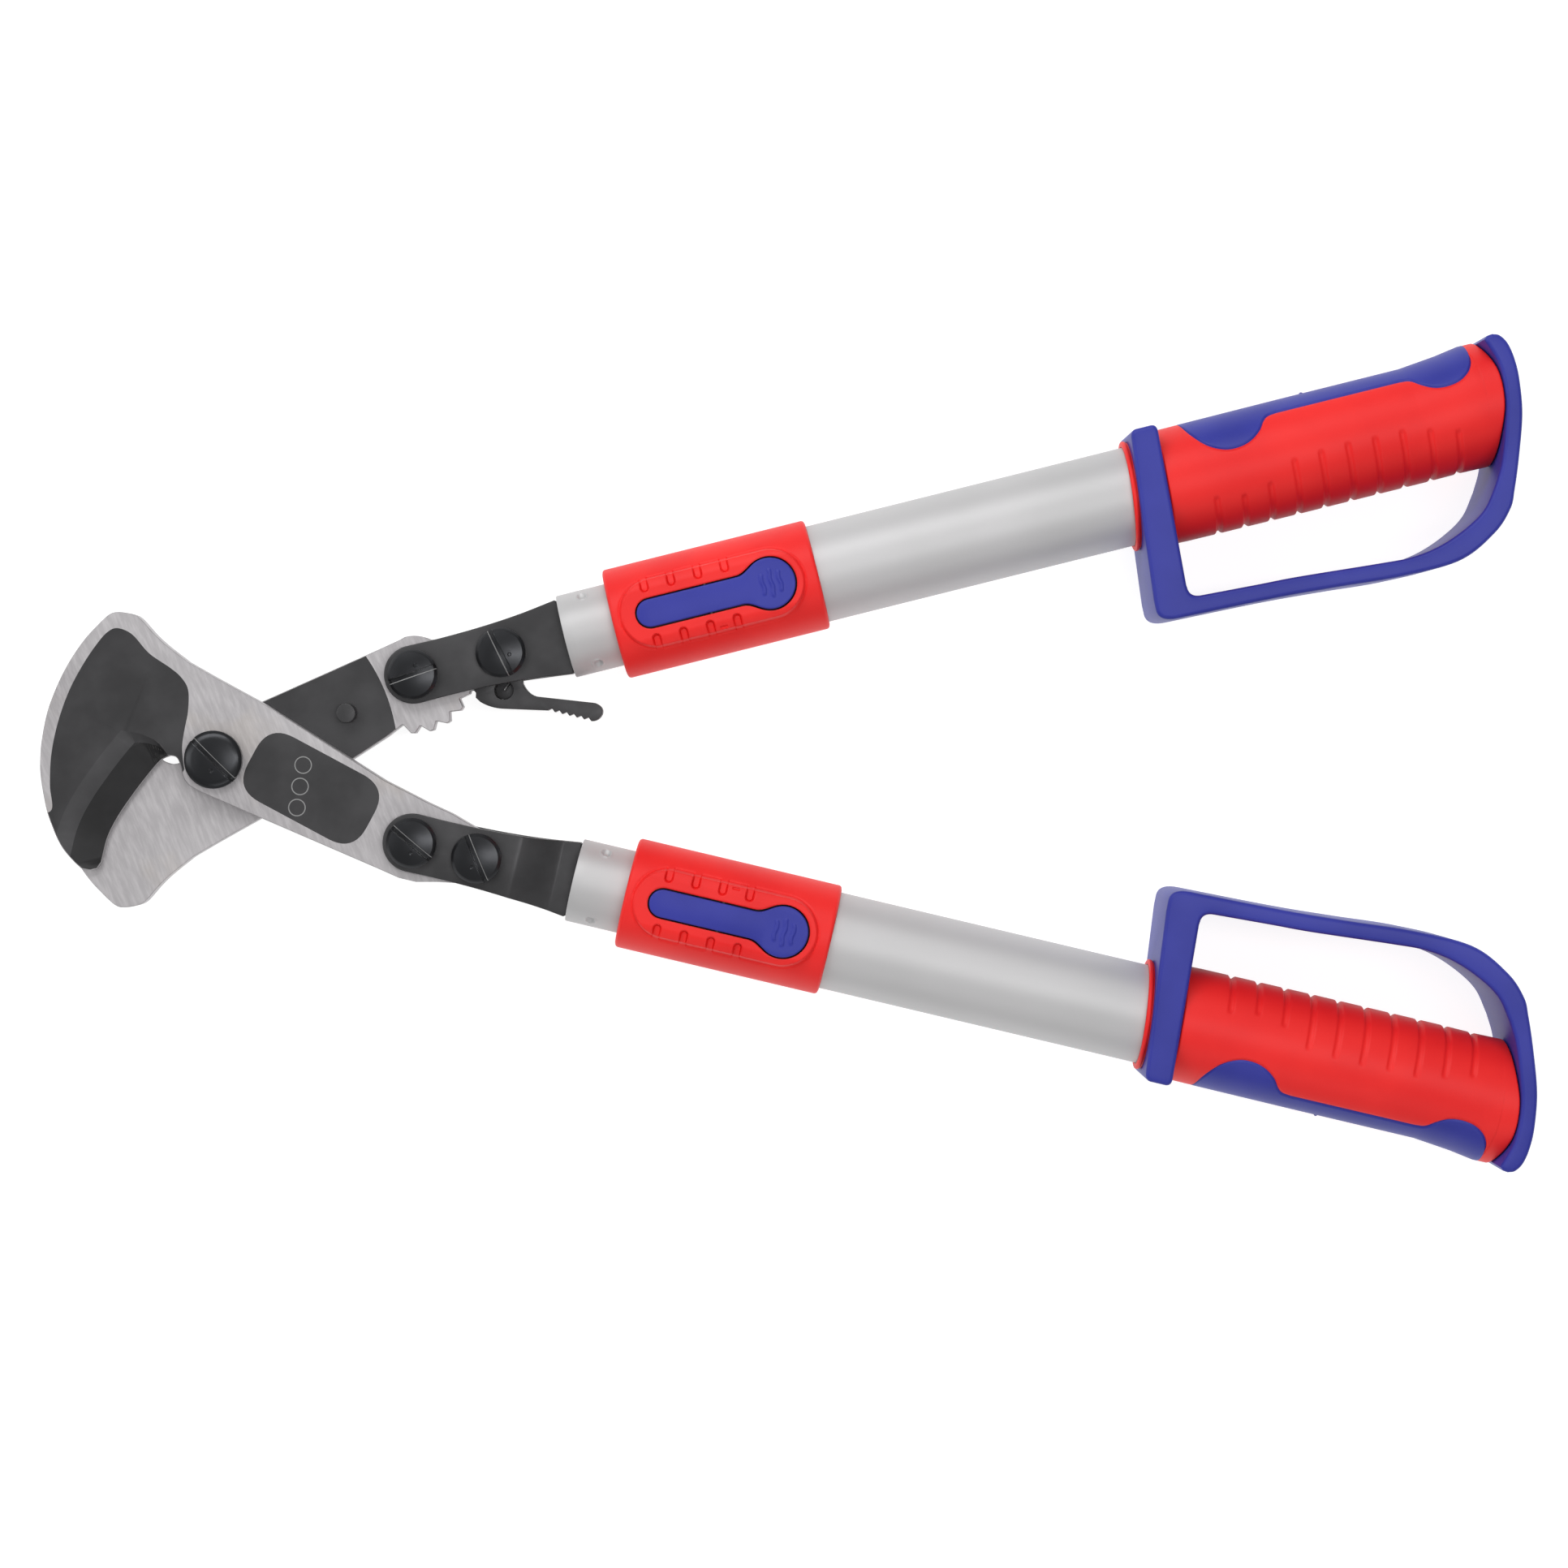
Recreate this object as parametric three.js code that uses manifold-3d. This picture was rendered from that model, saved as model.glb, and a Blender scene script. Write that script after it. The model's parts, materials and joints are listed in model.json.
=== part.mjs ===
// Ratchet cable cutters with telescopic handles.
// Millimetres, +Z up. The tool lies flat: the two blades meet in the plane halfway up, the jaws point
// to -X and the handles to +X. The origin is at the middle of the bounding box's underside.
import * as THREE from 'three';
import { mergeVertices } from 'three/addons/utils/BufferGeometryUtils.js';
import Module from 'manifold-3d';

const wasm = await Module();
wasm.setup();

// ---------------------------------------------------------------- driving sizes

const fit = 0.3;                 // clearance round anything that turns, slides or is pressed in
const faceGap = 0.2;             // air between flat faces that lie on each other
const shearGap = 0.1;            // from the shear plane to each blade's flat face

const bladeThickness = 7.9;
const armLength = 79.6;          // main pivot to the first bolt of a handle
const armAngle = 23;             // each arm from the tool's centre line, degrees
const handleAngle = 13.65;       // each handle from the tool's centre line, degrees
const grindWidth = 17.5;         // ground slope behind the cutting edge
const bevelWidth = 11;           // its steeper part
const edgeLand = 1.5;            // flat height left at the cutting edge
const bevelDrop = 1.8;           // how far the steeper part starts below the blade's face

const pivotShank = 7;            // radius of the main pivot bolt
const pivotHead = 10.7;
const pivotHeadHeight = 4.6;
const washerThickness = 1.6;
const boltShank = 4.6;           // radius of the four handle bolts
const boltHead = 9.2;
const boltHeadHeight = 4.2;
const nutHeight = 5.6;
const nutRim = 4.6;              // from a bolt's shank to the corners of its nut
const boltEnd = 1.2;             // bolt standing out of its nut
const slotWidth = 1.6;
const slotDepth = 1.8;
const stopPinRadius = 3.6;

const toothTip = 21.8;           // radius of the ratchet teeth round the handle's pivot
const toothRoot = 19.2;
const toothPitch = 18.5;         // degrees
const toothLand = 4.2;
const toothFace = 5.3;           // angle the driven face leans over
const firstTooth = 12.5;         // from the handle's line, degrees
const toothCount = 6;
const pawlHubGap = 1.2;          // from the teeth's circle to the pawl's hub

const plateThickness = 4;
const plateEndRadius = 10.8;
const plateMouthStep = 1.35;     // from the plates' mouth in to the tube's outside
const fixedSecondBolt = 24.6;    // behind the fixed handle's first bolt
const fixedCrankRoom = 4.6;      // from the blade's end to the crank in the front plate
const fixedCrankRun = 15;        // length of the crank
const fixedPlateTail = 6.7;      // from the crank to the plates' mouth
const ratchetCrankRoom = 1.8;    // the same three for the ratchet handle, behind its pawl
const ratchetCrankRun = 11;
const ratchetPlateTail = 1;
const tangLength = 21;           // plates inside the tube
const tangGap = 0.5;             // from the tang's corners to the tube's bore

const pawlBushWall = 1.8;
const springWire = 0.55;         // radius of the pawl spring's wire
const springRoom = 0.65;         // air round the spring's coil
const springTurns = 1.5;
const springTurnGap = 0.6;       // air between one turn of the coil and the next
const springEndGap = 0.25;       // air under and over the coil
const springRim = 1.2;           // pawl left outside the spring's pocket

const innerTubeRadius = 15.55;
const innerTubeWall = 1.8;
const outerTubeWall = 1.7;
const tubeGap = 0.95;            // between the two tubes, taken up by the bush and the sleeve's ring
const fixedBareInner = 20.3;     // from the plates' mouth to the lock sleeve
const ratchetBareInner = 19;
const travel = 200;              // how far each handle pulls out
const lockSteps = 3;             // lock positions after the first
const overlapAtFull = 68;        // inner tube left inside the outer tube at full length
const plugLength = 25;
const rivetRadius = 3;

const sleeveLength = 77.4;
const sleeveWall = 2.45;         // over the outer tube
const sleeveShoulder = 5.7;      // thickness of the sleeve's front ring, which guides the inner tube
const fieldRise = 0.65;          // raised flat field round the lever, over the sleeve's round
const fieldHalf = 12.9;
const fieldStart = 3.2;
const leverProud = 0.7;          // lever's top over the field
const leverThickness = 2;
const leverBarHalf = 5.1;
const leverPadRadius = 9.4;
const leverGap = 0.6;
const lockPinAt = 14.4;          // behind the sleeve's front end
const leverPadAt = 59.4;
const leverPinAt = 36;
const lockPinRadius = 2.2;

const bareTube = 120.8;          // outer tube showing between sleeve and guard
const gripLength = 137;          // from the guard's front face to the inside of its end wall
const gripWall = 3.2;            // grip over the outer tube
const gripOval = 0.6;            // how much deeper than wide the grip is
const drawnGrip = 21.4;          // grip radius that the guard's and the inlay's points are drawn for
const neckWall = 1.4;            // the grip's neck through the guard's collar
const inlayFloor = 1.6;          // from the outer tube to the inlay's underside
const guardProud = 0.5;          // guard's flat sides past the grip
const handRoom = 21;             // from the grip to the strap at the guard's front
const guardEdge = 1.2;           // rounding of the guard's edges

// ---------------------------------------------------------------- levels above the shear plane

const bladeTop = shearGap + bladeThickness;
const outerPlateLow = bladeTop + faceGap;
const outerPlateTop = outerPlateLow + plateThickness;
const tangLow = shearGap;
const tangTop = tangLow + plateThickness;

// ---------------------------------------------------------------- sizes that follow from them

const innerBore = innerTubeRadius - innerTubeWall;
const outerBore = innerTubeRadius + tubeGap;
const outerTubeRadius = outerBore + outerTubeWall;
const plateMouthHalf = innerTubeRadius - plateMouthStep;
const tangHalf = Math.sqrt((innerBore - tangGap) ** 2 - tangTop ** 2);

const sleeveRadius = outerTubeRadius + sleeveWall;
const fieldTop = sleeveRadius + fieldRise;
const leverTop = fieldTop + leverProud;
const gripRadius = outerTubeRadius + gripWall;
const gripDepthRadius = gripRadius + gripOval;
const neckRadius = outerTubeRadius + neckWall;
const inlayDepth = outerTubeRadius + inlayFloor;
const guardHalfDepth = gripDepthRadius + guardProud;
const gripShift = gripRadius - drawnGrip;

const boltBore = boltShank + fit;
const pawlBushRadius = boltBore + pawlBushWall;
const pawlBore = pawlBushRadius + fit;
const springCoil = pawlBore + springRoom + springWire;
const springPocket = springCoil + springWire + springRoom;
const pawlHub = springPocket + springRim;
const springRise = springTurns * (2 * springWire + springTurnGap);
const springPocketDepth = springRise + 2 * springWire + 2 * springEndGap;

const roundSides = 28;           // facets of the tubes, sleeves and grips
const boltSides = 20;

const degree = Math.PI / 180;
const point = (x, y) => new THREE.Vector2(x, y);
const polar = (radius, angle) => point(radius * Math.cos(angle * degree), radius * Math.sin(angle * degree));

// ---------------------------------------------------------------- solids

function signedVolume(position, index) {
  const [a, b, c] = [new THREE.Vector3(), new THREE.Vector3(), new THREE.Vector3()];
  let volume = 0;
  for (let i = 0; i < index.count; i += 3) {
    a.fromBufferAttribute(position, index.getX(i));
    b.fromBufferAttribute(position, index.getX(i + 1));
    c.fromBufferAttribute(position, index.getX(i + 2));
    volume += a.dot(b.cross(c)) / 6;
  }
  return volume;
}

// a closed geometry as a solid for joining and cutting, with its faces turned outwards
function solid(geometry) {
  const bare = geometry.clone();
  bare.deleteAttribute('normal');
  bare.deleteAttribute('uv');
  const merged = mergeVertices(bare, 1e-4);
  const triVerts = new Uint32Array(merged.index.array);
  if (signedVolume(merged.attributes.position, merged.index) < 0) {
    for (let i = 0; i < triVerts.length; i += 3) {
      [triVerts[i], triVerts[i + 1]] = [triVerts[i + 1], triVerts[i]];
    }
  }
  const vertProperties = new Float32Array(merged.attributes.position.array);
  return new wasm.Manifold(new wasm.Mesh({ numProp: 3, vertProperties, triVerts }));
}

function geometryOf(body) {
  const mesh = body.getMesh();
  const geometry = new THREE.BufferGeometry();
  geometry.setAttribute('position', new THREE.BufferAttribute(mesh.vertProperties, 3));
  geometry.setIndex(new THREE.BufferAttribute(mesh.triVerts, 1));
  geometry.computeVertexNormals();
  return geometry;
}

function shapeOf(points) {
  return new THREE.Shape(points);
}

// a flat outline given a thickness from one level to another
function slab(shape, low, high, curveSegments = 6) {
  const geometry = new THREE.ExtrudeGeometry(shape, {
    depth: high - low, bevelEnabled: false, curveSegments,
  });
  return solid(geometry.translate(0, 0, low));
}

// an upright round post
function post(radius, low, high, x = 0, y = 0, sides = boltSides) {
  const geometry = new THREE.CylinderGeometry(radius, radius, high - low, sides);
  return solid(geometry.rotateX(Math.PI / 2).translate(x, y, (low + high) / 2));
}

// a round bar along X
function bar(radius, start, end, sides = roundSides) {
  const geometry = new THREE.CylinderGeometry(radius, radius, end - start, sides);
  return solid(geometry.rotateZ(-Math.PI / 2).translate((start + end) / 2, 0, 0));
}

function block(x0, x1, y0, y1, z0, z1) {
  const geometry = new THREE.BoxGeometry(x1 - x0, y1 - y0, z1 - z0);
  return solid(geometry.translate((x0 + x1) / 2, (y0 + y1) / 2, (z0 + z1) / 2));
}

// a turned piece on the X axis: pairs of radius and place along X
function turnedAlongX(profile, sides = roundSides) {
  const geometry = new THREE.LatheGeometry(profile.map(([r, x]) => point(r, x)), sides);
  return solid(geometry.rotateZ(-Math.PI / 2));
}

// a turned piece on the Z axis: pairs of radius and height
function turnedUpright(profile, sides = boltSides) {
  const geometry = new THREE.LatheGeometry(profile.map(([r, z]) => point(r, z)), sides);
  return solid(geometry.rotateX(Math.PI / 2));
}

// rings of equal point count joined by quads, with flat ends
function loft(rings) {
  const count = rings[0].length;
  const positions = rings.flat().flatMap(p => [p.x, p.y, p.z]);
  const index = [];
  for (let r = 0; r + 1 < rings.length; r++) {
    for (let i = 0; i < count; i++) {
      const a = r * count + i;
      const b = r * count + (i + 1) % count;
      index.push(a, b, b + count, a, b + count, a + count);
    }
  }
  const last = (rings.length - 1) * count;
  for (const [ring, base, flip] of [[rings[0], 0, true], [rings.at(-1), last, false]]) {
    const flat = ring.map(p => point(p.flatX ?? p.x, p.flatY ?? p.y));
    for (const [a, b, c] of THREE.ShapeUtils.triangulateShape(flat, [])) {
      index.push(base + a, base + (flip ? c : b), base + (flip ? b : c));
    }
  }
  const geometry = new THREE.BufferGeometry();
  geometry.setAttribute('position', new THREE.Float32BufferAttribute(positions, 3));
  geometry.setIndex(index);
  return solid(geometry);
}

function along(points, count) {
  return new THREE.SplineCurve(points).getPoints(count);
}

// ---------------------------------------------------------------- materials and scene graph

function finish(color, roughness, metalness) {
  return () => new THREE.MeshStandardMaterial({ color, roughness, metalness });
}

const brightSteel = finish(0xc9c6c2, 0.35, 1);
const blackSteel = finish(0x3d3d40, 0.5, 0.6);
const springSteel = finish(0xb9bbbd, 0.3, 1);
const aluminium = finish(0xbdbab8, 0.4, 0.9);
const redPlastic = finish(0xe8282c, 0.45, 0);
const bluePlastic = finish(0x2d2f98, 0.45, 0);
const blackPlastic = finish(0x222326, 0.6, 0);

const tool = new THREE.Group();

function addPiece(parent, name, body, material) {
  const mesh = new THREE.Mesh(geometryOf(body), material());
  mesh.name = name;
  parent.add(mesh);
  return mesh;
}

// ---------------------------------------------------------------- blades

const pivotAt = polar(armLength, -armAngle);

// a place given along and across the handle's line, in the blade's own frame
function fromHandle(u, v) {
  return point(u, v).rotateAround(point(0, 0), -handleAngle * degree).add(pivotAt);
}

// a blade with its jaw to -X and its arm down to +X, its flat face down at the shear plane
function bladeBlank(armEnd) {
  const cuttingEdge = along([
    point(-43, -37.8), point(-40.6, -28.7), point(-36.7, -21), point(-31.5, -13.4),
    point(-26.8, -7.2), point(-22.3, -1.8), point(-19.9, 0.4), point(-16.9, 1.6),
  ], 14);
  const jawRim = along([
    point(-41.5, 51.3), point(-52.9, 37.2), point(-61.3, 18.9), point(-64.5, 1.2),
    point(-62.1, -18), point(-56.8, -31.8), point(-49.9, -40.2),
  ], 14);
  const neck = along([
    point(-11.5, 38), point(-17.6, 42.6), point(-26.8, 52.2), point(-35.2, 54.8), point(-41.5, 51.3),
  ], 8);
  const hollow = [point(-13.9, 0.9), point(-12.4, -2.4), point(-11.6, -6), point(-9.6, -9.2)];
  const armLow = [point(-5.5, -11.7), fromHandle(-10.5, -12.3), fromHandle(-2, -13.9)];
  const armHigh = [fromHandle(-15.3, 19.9), point(19.1, 20.1), point(-0.7, 31.1)];

  const outline = [
    ...cuttingEdge, ...hollow, ...armLow, ...armEnd, ...armHigh,
    ...neck, ...jawRim.slice(1), point(-46.8, -40.8), point(-44.5, -40.2),
  ];
  // the ground slope moves the cutting edge's points back towards the jaw's rim
  const level = (height, width) => outline.map((p, i) => {
    if (i >= cuttingEdge.length) return new THREE.Vector3(p.x, p.y, height);
    const share = i / (cuttingEdge.length - 1);
    const rim = jawRim[Math.round((1 - share) * (jawRim.length - 1))];
    const towards = rim.clone().sub(p);
    const fade = Math.min(1, (1 - share) * 6);
    const shift = Math.min(width * fade, towards.length() * 0.75);
    const moved = p.clone().add(towards.setLength(shift));
    return new THREE.Vector3(moved.x, moved.y, height);
  });
  const bore = post(pivotShank + fit, -1, bladeTop + 1);
  return loft([
    level(shearGap, 0), level(shearGap + edgeLand, 0),
    level(bladeTop - bevelDrop, bevelWidth), level(bladeTop, grindWidth),
  ]).subtract(bore);
}

const armEndRadius = plateEndRadius - 1;
const pawlBolt = toothTip + pawlHubGap + pawlHub;
const stopPinAt = point(48.5, 16.9);

const fixedArmEnd = [
  fromHandle(4.4, -13.9), fromHandle(12.5, -12),
  ...[-80, -50, -20, 10, 40, 70].map(angle => {
    const round = polar(armEndRadius, angle);
    return fromHandle(fixedSecondBolt + round.x, round.y);
  }),
  fromHandle(21.4, 10.7), fromHandle(11.7, 13.7), fromHandle(2.3, 15.6),
];

// the ratchet teeth, read anticlockwise: a leaning driven face, a short land and a long back
function ratchetArmEnd() {
  const points = [-90, -70, -50].map(angle => polar(14.5, angle));
  points.push(polar(toothRoot, -30), polar(toothRoot, -8));
  for (let tooth = 0; tooth < toothCount; tooth++) {
    const middle = firstTooth + tooth * toothPitch;
    points.push(polar(toothRoot, middle - toothLand / 2 - toothFace));
    points.push(polar(toothTip, middle - toothLand / 2));
    points.push(polar(toothTip, middle + toothLand / 2));
  }
  const lastTooth = firstTooth + (toothCount - 1) * toothPitch;
  points.push(polar(toothRoot, lastTooth + toothPitch - toothLand / 2 - toothFace));
  return points.map(p => fromHandle(p.x, p.y));
}

const farBolt = fromHandle(fixedSecondBolt, 0);
const frontBlade = bladeBlank(fixedArmEnd)
  .subtract(post(boltBore, -1, bladeTop + 1, pivotAt.x, pivotAt.y))
  .subtract(post(boltBore, -1, bladeTop + 1, farBolt.x, farBolt.y));
addPiece(tool, 'blade_front', frontBlade, blackSteel);

// the rear blade is turned over about X, so its jaw and arm cross the front one's
const rearBlade = bladeBlank(ratchetArmEnd())
  .subtract(post(boltBore, -1, bladeTop + 1, pivotAt.x, pivotAt.y))
  .subtract(post(stopPinRadius - 1 + fit, -1, bladeTop + 1, stopPinAt.x, -stopPinAt.y));
addPiece(tool, 'blade_rear', rearBlade, brightSteel).rotation.x = Math.PI;

// ---------------------------------------------------------------- bolts and nuts

// a slotted bolt, standing upright with its head's underside at one level and its tip at another
function slottedBolt(shank, head, headHeight, under, tip, slotAngle) {
  const top = under + headHeight;
  const turned = turnedUpright([
    [0, tip], [shank, tip], [shank, under], [head, under], [head, top - 1], [head - 1, top], [0, top],
  ]);
  const slot = new THREE.BoxGeometry(head * 2 + 2, slotWidth, slotDepth * 2).rotateZ(slotAngle * degree);
  return turned.subtract(solid(slot.translate(0, 0, top)));
}

function hexNut(bore, top) {
  const corner = bore + nutRim;
  const hexagon = solid(new THREE.CylinderGeometry(corner, corner, nutHeight, 6)
    .rotateX(Math.PI / 2).translate(0, 0, top - nutHeight / 2));
  return hexagon.subtract(post(bore + fit, top - nutHeight - 1, top + 1));
}

function addBolt(parent, names, at, shank, head, headHeight, under, nutTop, slotAngle) {
  const bolt = slottedBolt(shank, head, headHeight, under, nutTop - nutHeight - boltEnd, slotAngle);
  addPiece(parent, names.bolt, bolt, blackSteel).position.set(at, 0, 0);
  addPiece(parent, names.nut, hexNut(shank, nutTop), blackSteel).position.set(at, 0, 0);
}

const washerTop = -bladeTop - faceGap;
addBolt(tool, { bolt: 'main_pivot_bolt', nut: 'main_pivot_nut' }, 0, pivotShank, pivotHead,
  pivotHeadHeight, bladeTop + faceGap, washerTop - washerThickness - faceGap, -45);
const washer = post(pivotHead + 1, washerTop - washerThickness, washerTop)
  .subtract(post(pivotShank + fit, washerTop - washerThickness - 1, washerTop + 1));
addPiece(tool, 'main_pivot_washer', washer, brightSteel);

// the stop pin has a thin stem in the rear blade and a thick head in the front blade's layer
const stopPin = turnedUpright([
  [0, -bladeTop], [stopPinRadius - 1, -bladeTop], [stopPinRadius - 1, shearGap],
  [stopPinRadius, shearGap], [stopPinRadius, bladeTop - 2.5], [stopPinRadius - 0.8, bladeTop - 1.7],
  [0, bladeTop - 1.7],
]);
addPiece(tool, 'stop_pin', stopPin, blackSteel).position.set(stopPinAt.x, stopPinAt.y, 0);

// ---------------------------------------------------------------- handle plates

// a plate's plan: round at the first bolt, widening to its mouth, then a narrower tang
function platePlan(mouth) {
  const shape = new THREE.Shape();
  shape.absarc(0, 0, plateEndRadius, -Math.PI / 2, Math.PI / 2, true);
  shape.lineTo(mouth * 0.35, plateEndRadius);
  shape.quadraticCurveTo(mouth * 0.62, plateEndRadius + 0.6, mouth, plateMouthHalf);
  shape.lineTo(mouth, tangHalf);
  shape.lineTo(mouth + tangLength, tangHalf);
  shape.lineTo(mouth + tangLength, -tangHalf);
  shape.lineTo(mouth, -tangHalf);
  shape.lineTo(mouth, -plateMouthHalf);
  shape.quadraticCurveTo(mouth * 0.62, -plateEndRadius - 0.6, mouth * 0.35, -plateEndRadius);
  return shape;
}

// both plates of a handle: one lies flat, the other steps over the blade and comes down to it
function handlePlates(mouth, bolts, crankStart, crankEnd) {
  const end = mouth + tangLength;
  const cut = plate => bolts.reduce((body, at) => body.subtract(post(boltBore, -30, 30, at)), plate)
    .subtract(post(rivetRadius + fit, -30, 30, mouth + tangLength * 0.6));
  const flat = slab(platePlan(mouth), tangLow, tangTop);
  const start = -plateEndRadius - 1;
  const side = shapeOf([
    point(start, outerPlateLow), point(crankStart, outerPlateLow), point(crankEnd, tangLow),
    point(end + 1, tangLow), point(end + 1, tangTop), point(crankEnd + 0.8, tangTop),
    point(crankStart + 0.8, outerPlateTop), point(start, outerPlateTop),
  ]);
  const sheet = new THREE.ExtrudeGeometry(side, { depth: 60, bevelEnabled: false })
    .rotateX(Math.PI / 2).translate(0, 30, 0);
  const stepped = solid(sheet).intersect(slab(platePlan(mouth), -30, 30));
  return { flat: cut(flat), stepped: cut(stepped) };
}

function overturned(body) {
  const turned = geometryOf(body).rotateX(Math.PI);
  return solid(turned);
}

// ---------------------------------------------------------------- pawl

const pawlTop = -shearGap;
const pawlLow = -bladeTop;
const springHole = point(pawlBolt - 2.6, 13.7);

function pawlBody() {
  const shape = new THREE.Shape();
  // hub, underside of the thumb lever, its end, the serrated edge, and the nose over the teeth
  shape.absarc(pawlBolt, 0, pawlHub, 190 * degree, 420 * degree, false);
  const at = x => pawlBolt + x;
  shape.lineTo(at(4.7), 12.9);
  shape.quadraticCurveTo(at(5.5), 17.3, at(8.7), 18.9);
  shape.lineTo(at(29), 26.4);
  shape.quadraticCurveTo(at(32.2), 28.6, at(30.6), 31.2);
  shape.quadraticCurveTo(at(28.8), 33.4, at(26.1), 32.7);
  const teeth = 6;
  const first = point(at(26.1), 32.7);
  const serration = point(at(11.3), 24.9).sub(first).divideScalar(teeth);
  for (let i = 0; i < teeth; i++) {
    const notch = first.clone().addScaledVector(serration, i + 0.5);
    shape.lineTo(notch.x + 0.5, notch.y - 1);
    const tooth = first.clone().addScaledVector(serration, i + 1);
    shape.lineTo(tooth.x, tooth.y);
  }
  shape.quadraticCurveTo(at(-0.8), 21.4, at(-5.5), 20);
  shape.quadraticCurveTo(at(-9.4), 18.6, at(-12.2), 15.8);
  for (const [rise, angle] of [[2.6, 34.5], [2.1, 30.4], [0.6, 27.9], [2.2, 17]]) {
    const nose = polar(toothTip + rise, angle);
    shape.lineTo(nose.x, nose.y);
  }
  return slab(shape, pawlLow, pawlTop, 5);
}

const springSeat = pawlTop - springPocketDepth;
// the spring's leg leaves its coil on a tangent and runs to the hole in the pawl
const holeFromBolt = springHole.clone().sub(point(pawlBolt, 0));
const leavesAt = holeFromBolt.angle() - Math.acos(springCoil / holeFromBolt.length());
const legStart = polar(springCoil, leavesAt / degree).add(point(pawlBolt, 0));
const leg = springHole.clone().sub(legStart);

// the pawl with its bore, the pocket for the spring's coil, and the groove and hole for its leg
function pawlWithPocket() {
  const grooveDepth = springPocketDepth + 1;
  const groove = new THREE.BoxGeometry(leg.length(), 2 * (springWire + springRoom), grooveDepth)
    .translate(leg.length() / 2, 0, springSeat + grooveDepth / 2)
    .rotateZ(leg.angle()).translate(legStart.x, legStart.y, 0);
  return pawlBody()
    .subtract(post(pawlBore, -20, 10, pawlBolt))
    .subtract(post(springPocket, springSeat, 10, pawlBolt))
    .subtract(solid(groove))
    .subtract(post(3.5, -20, 10, springHole.x, springHole.y));
}

// the coil winds down round the bush, then its leg runs out to the hole in the pawl
function pawlSpring() {
  const low = springSeat + springEndGap + springWire;
  const path = [];
  for (let i = 0; i <= 24; i++) {
    const share = i / 24;
    const angle = leavesAt - springTurns * 2 * Math.PI * (1 - share);
    path.push(new THREE.Vector3(pawlBolt + springCoil * Math.cos(angle), springCoil * Math.sin(angle),
      low + springRise * (1 - share)));
  }
  for (const share of [0.15, 0.5, 1]) {
    const onLeg = legStart.clone().addScaledVector(leg, share);
    path.push(new THREE.Vector3(onLeg.x, onLeg.y, low));
  }
  const section = new THREE.Shape();
  section.absarc(0, 0, springWire, 0, Math.PI * 2, false);
  return solid(new THREE.ExtrudeGeometry(section, {
    extrudePath: new THREE.CatmullRomCurve3(path), steps: 34, curveSegments: 3, bevelEnabled: false,
  }));
}

// ---------------------------------------------------------------- tubes

function tubeAlongX(radius, wall, start, end) {
  const bore = radius - wall;
  return turnedAlongX([[bore, start], [radius, start], [radius, end], [bore, end], [bore, start]]);
}

// the inner tube, with its lock holes on top and the crimps that hold the plug
function innerTube(front, end, firstHole) {
  let tube = tubeAlongX(innerTubeRadius, innerTubeWall, front, end);
  for (let i = 0; i <= lockSteps; i++) {
    const hole = post(lockPinRadius + 0.8, 5, 30, firstHole + i * travel / lockSteps, 0, 10);
    tube = tube.subtract(hole);
  }
  const crimpReach = innerTubeRadius + 1;
  for (const angle of [-55, 55, 125, 235]) {
    const crimp = new THREE.SphereGeometry(2, 8, 4).translate(front + 9.5,
      crimpReach * Math.sin(angle * degree), crimpReach * Math.cos(angle * degree));
    tube = tube.subtract(solid(crimp));
  }
  return tube;
}

// a plug that packs the flat tang out to the round bore, cross-drilled for its rivet
function tubePlug(front, tangEnd, rivetAt) {
  const start = front + 1.2;
  const slot = block(front - 1, tangEnd + fit, -20, 20, -tangTop - fit, tangTop + fit);
  return bar(innerBore - fit, start, start + plugLength)
    .subtract(slot).subtract(post(rivetRadius + fit, -30, 30, rivetAt));
}

// a plastic foot on the inner tube's end that runs in the outer tube
function guideBush(tubeEnd) {
  const spigot = innerBore - fit;
  const runner = outerBore - fit;
  return turnedAlongX([
    [spigot - 3, tubeEnd - 10], [spigot, tubeEnd - 10], [spigot, tubeEnd + fit],
    [runner, tubeEnd + fit], [runner, tubeEnd + 3], [runner - 1, tubeEnd + 4],
    [spigot - 3, tubeEnd + 4], [spigot - 3, tubeEnd - 10],
  ]);
}

// ---------------------------------------------------------------- lock sleeve and lever

// a bar with a round pad at its end, grown by a margin
function keyholePlan(margin) {
  const half = leverBarHalf + margin;
  const pad = leverPadRadius + margin;
  const joint = Math.asin(half / pad) * 1.25;
  const padMeet = polar(pad, 180 - joint / degree);
  const neckAt = leverPadAt - pad - 3;
  const shape = new THREE.Shape();
  shape.absarc(lockPinAt, 0, half, Math.PI / 2, Math.PI * 1.5, false);
  shape.lineTo(neckAt, -half);
  shape.quadraticCurveTo(leverPadAt + padMeet.x - 1.5, -half, leverPadAt + padMeet.x, -padMeet.y);
  shape.absarc(leverPadAt, 0, pad, Math.PI + joint, 3 * Math.PI - joint, false);
  shape.quadraticCurveTo(leverPadAt + padMeet.x - 1.5, half, neckAt, half);
  return shape;
}

// an oblong with round ends
function oblongPlan(start, end, half) {
  const shape = new THREE.Shape();
  shape.absarc(start + half, 0, half, Math.PI / 2, Math.PI * 1.5, false);
  shape.absarc(end - half, 0, half, Math.PI * 1.5, Math.PI * 2.5, false);
  return shape;
}

const leverPinZ = leverTop - leverThickness;
const leverPinRadius = 0.9;
const leverPinHalf = 8;

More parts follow.
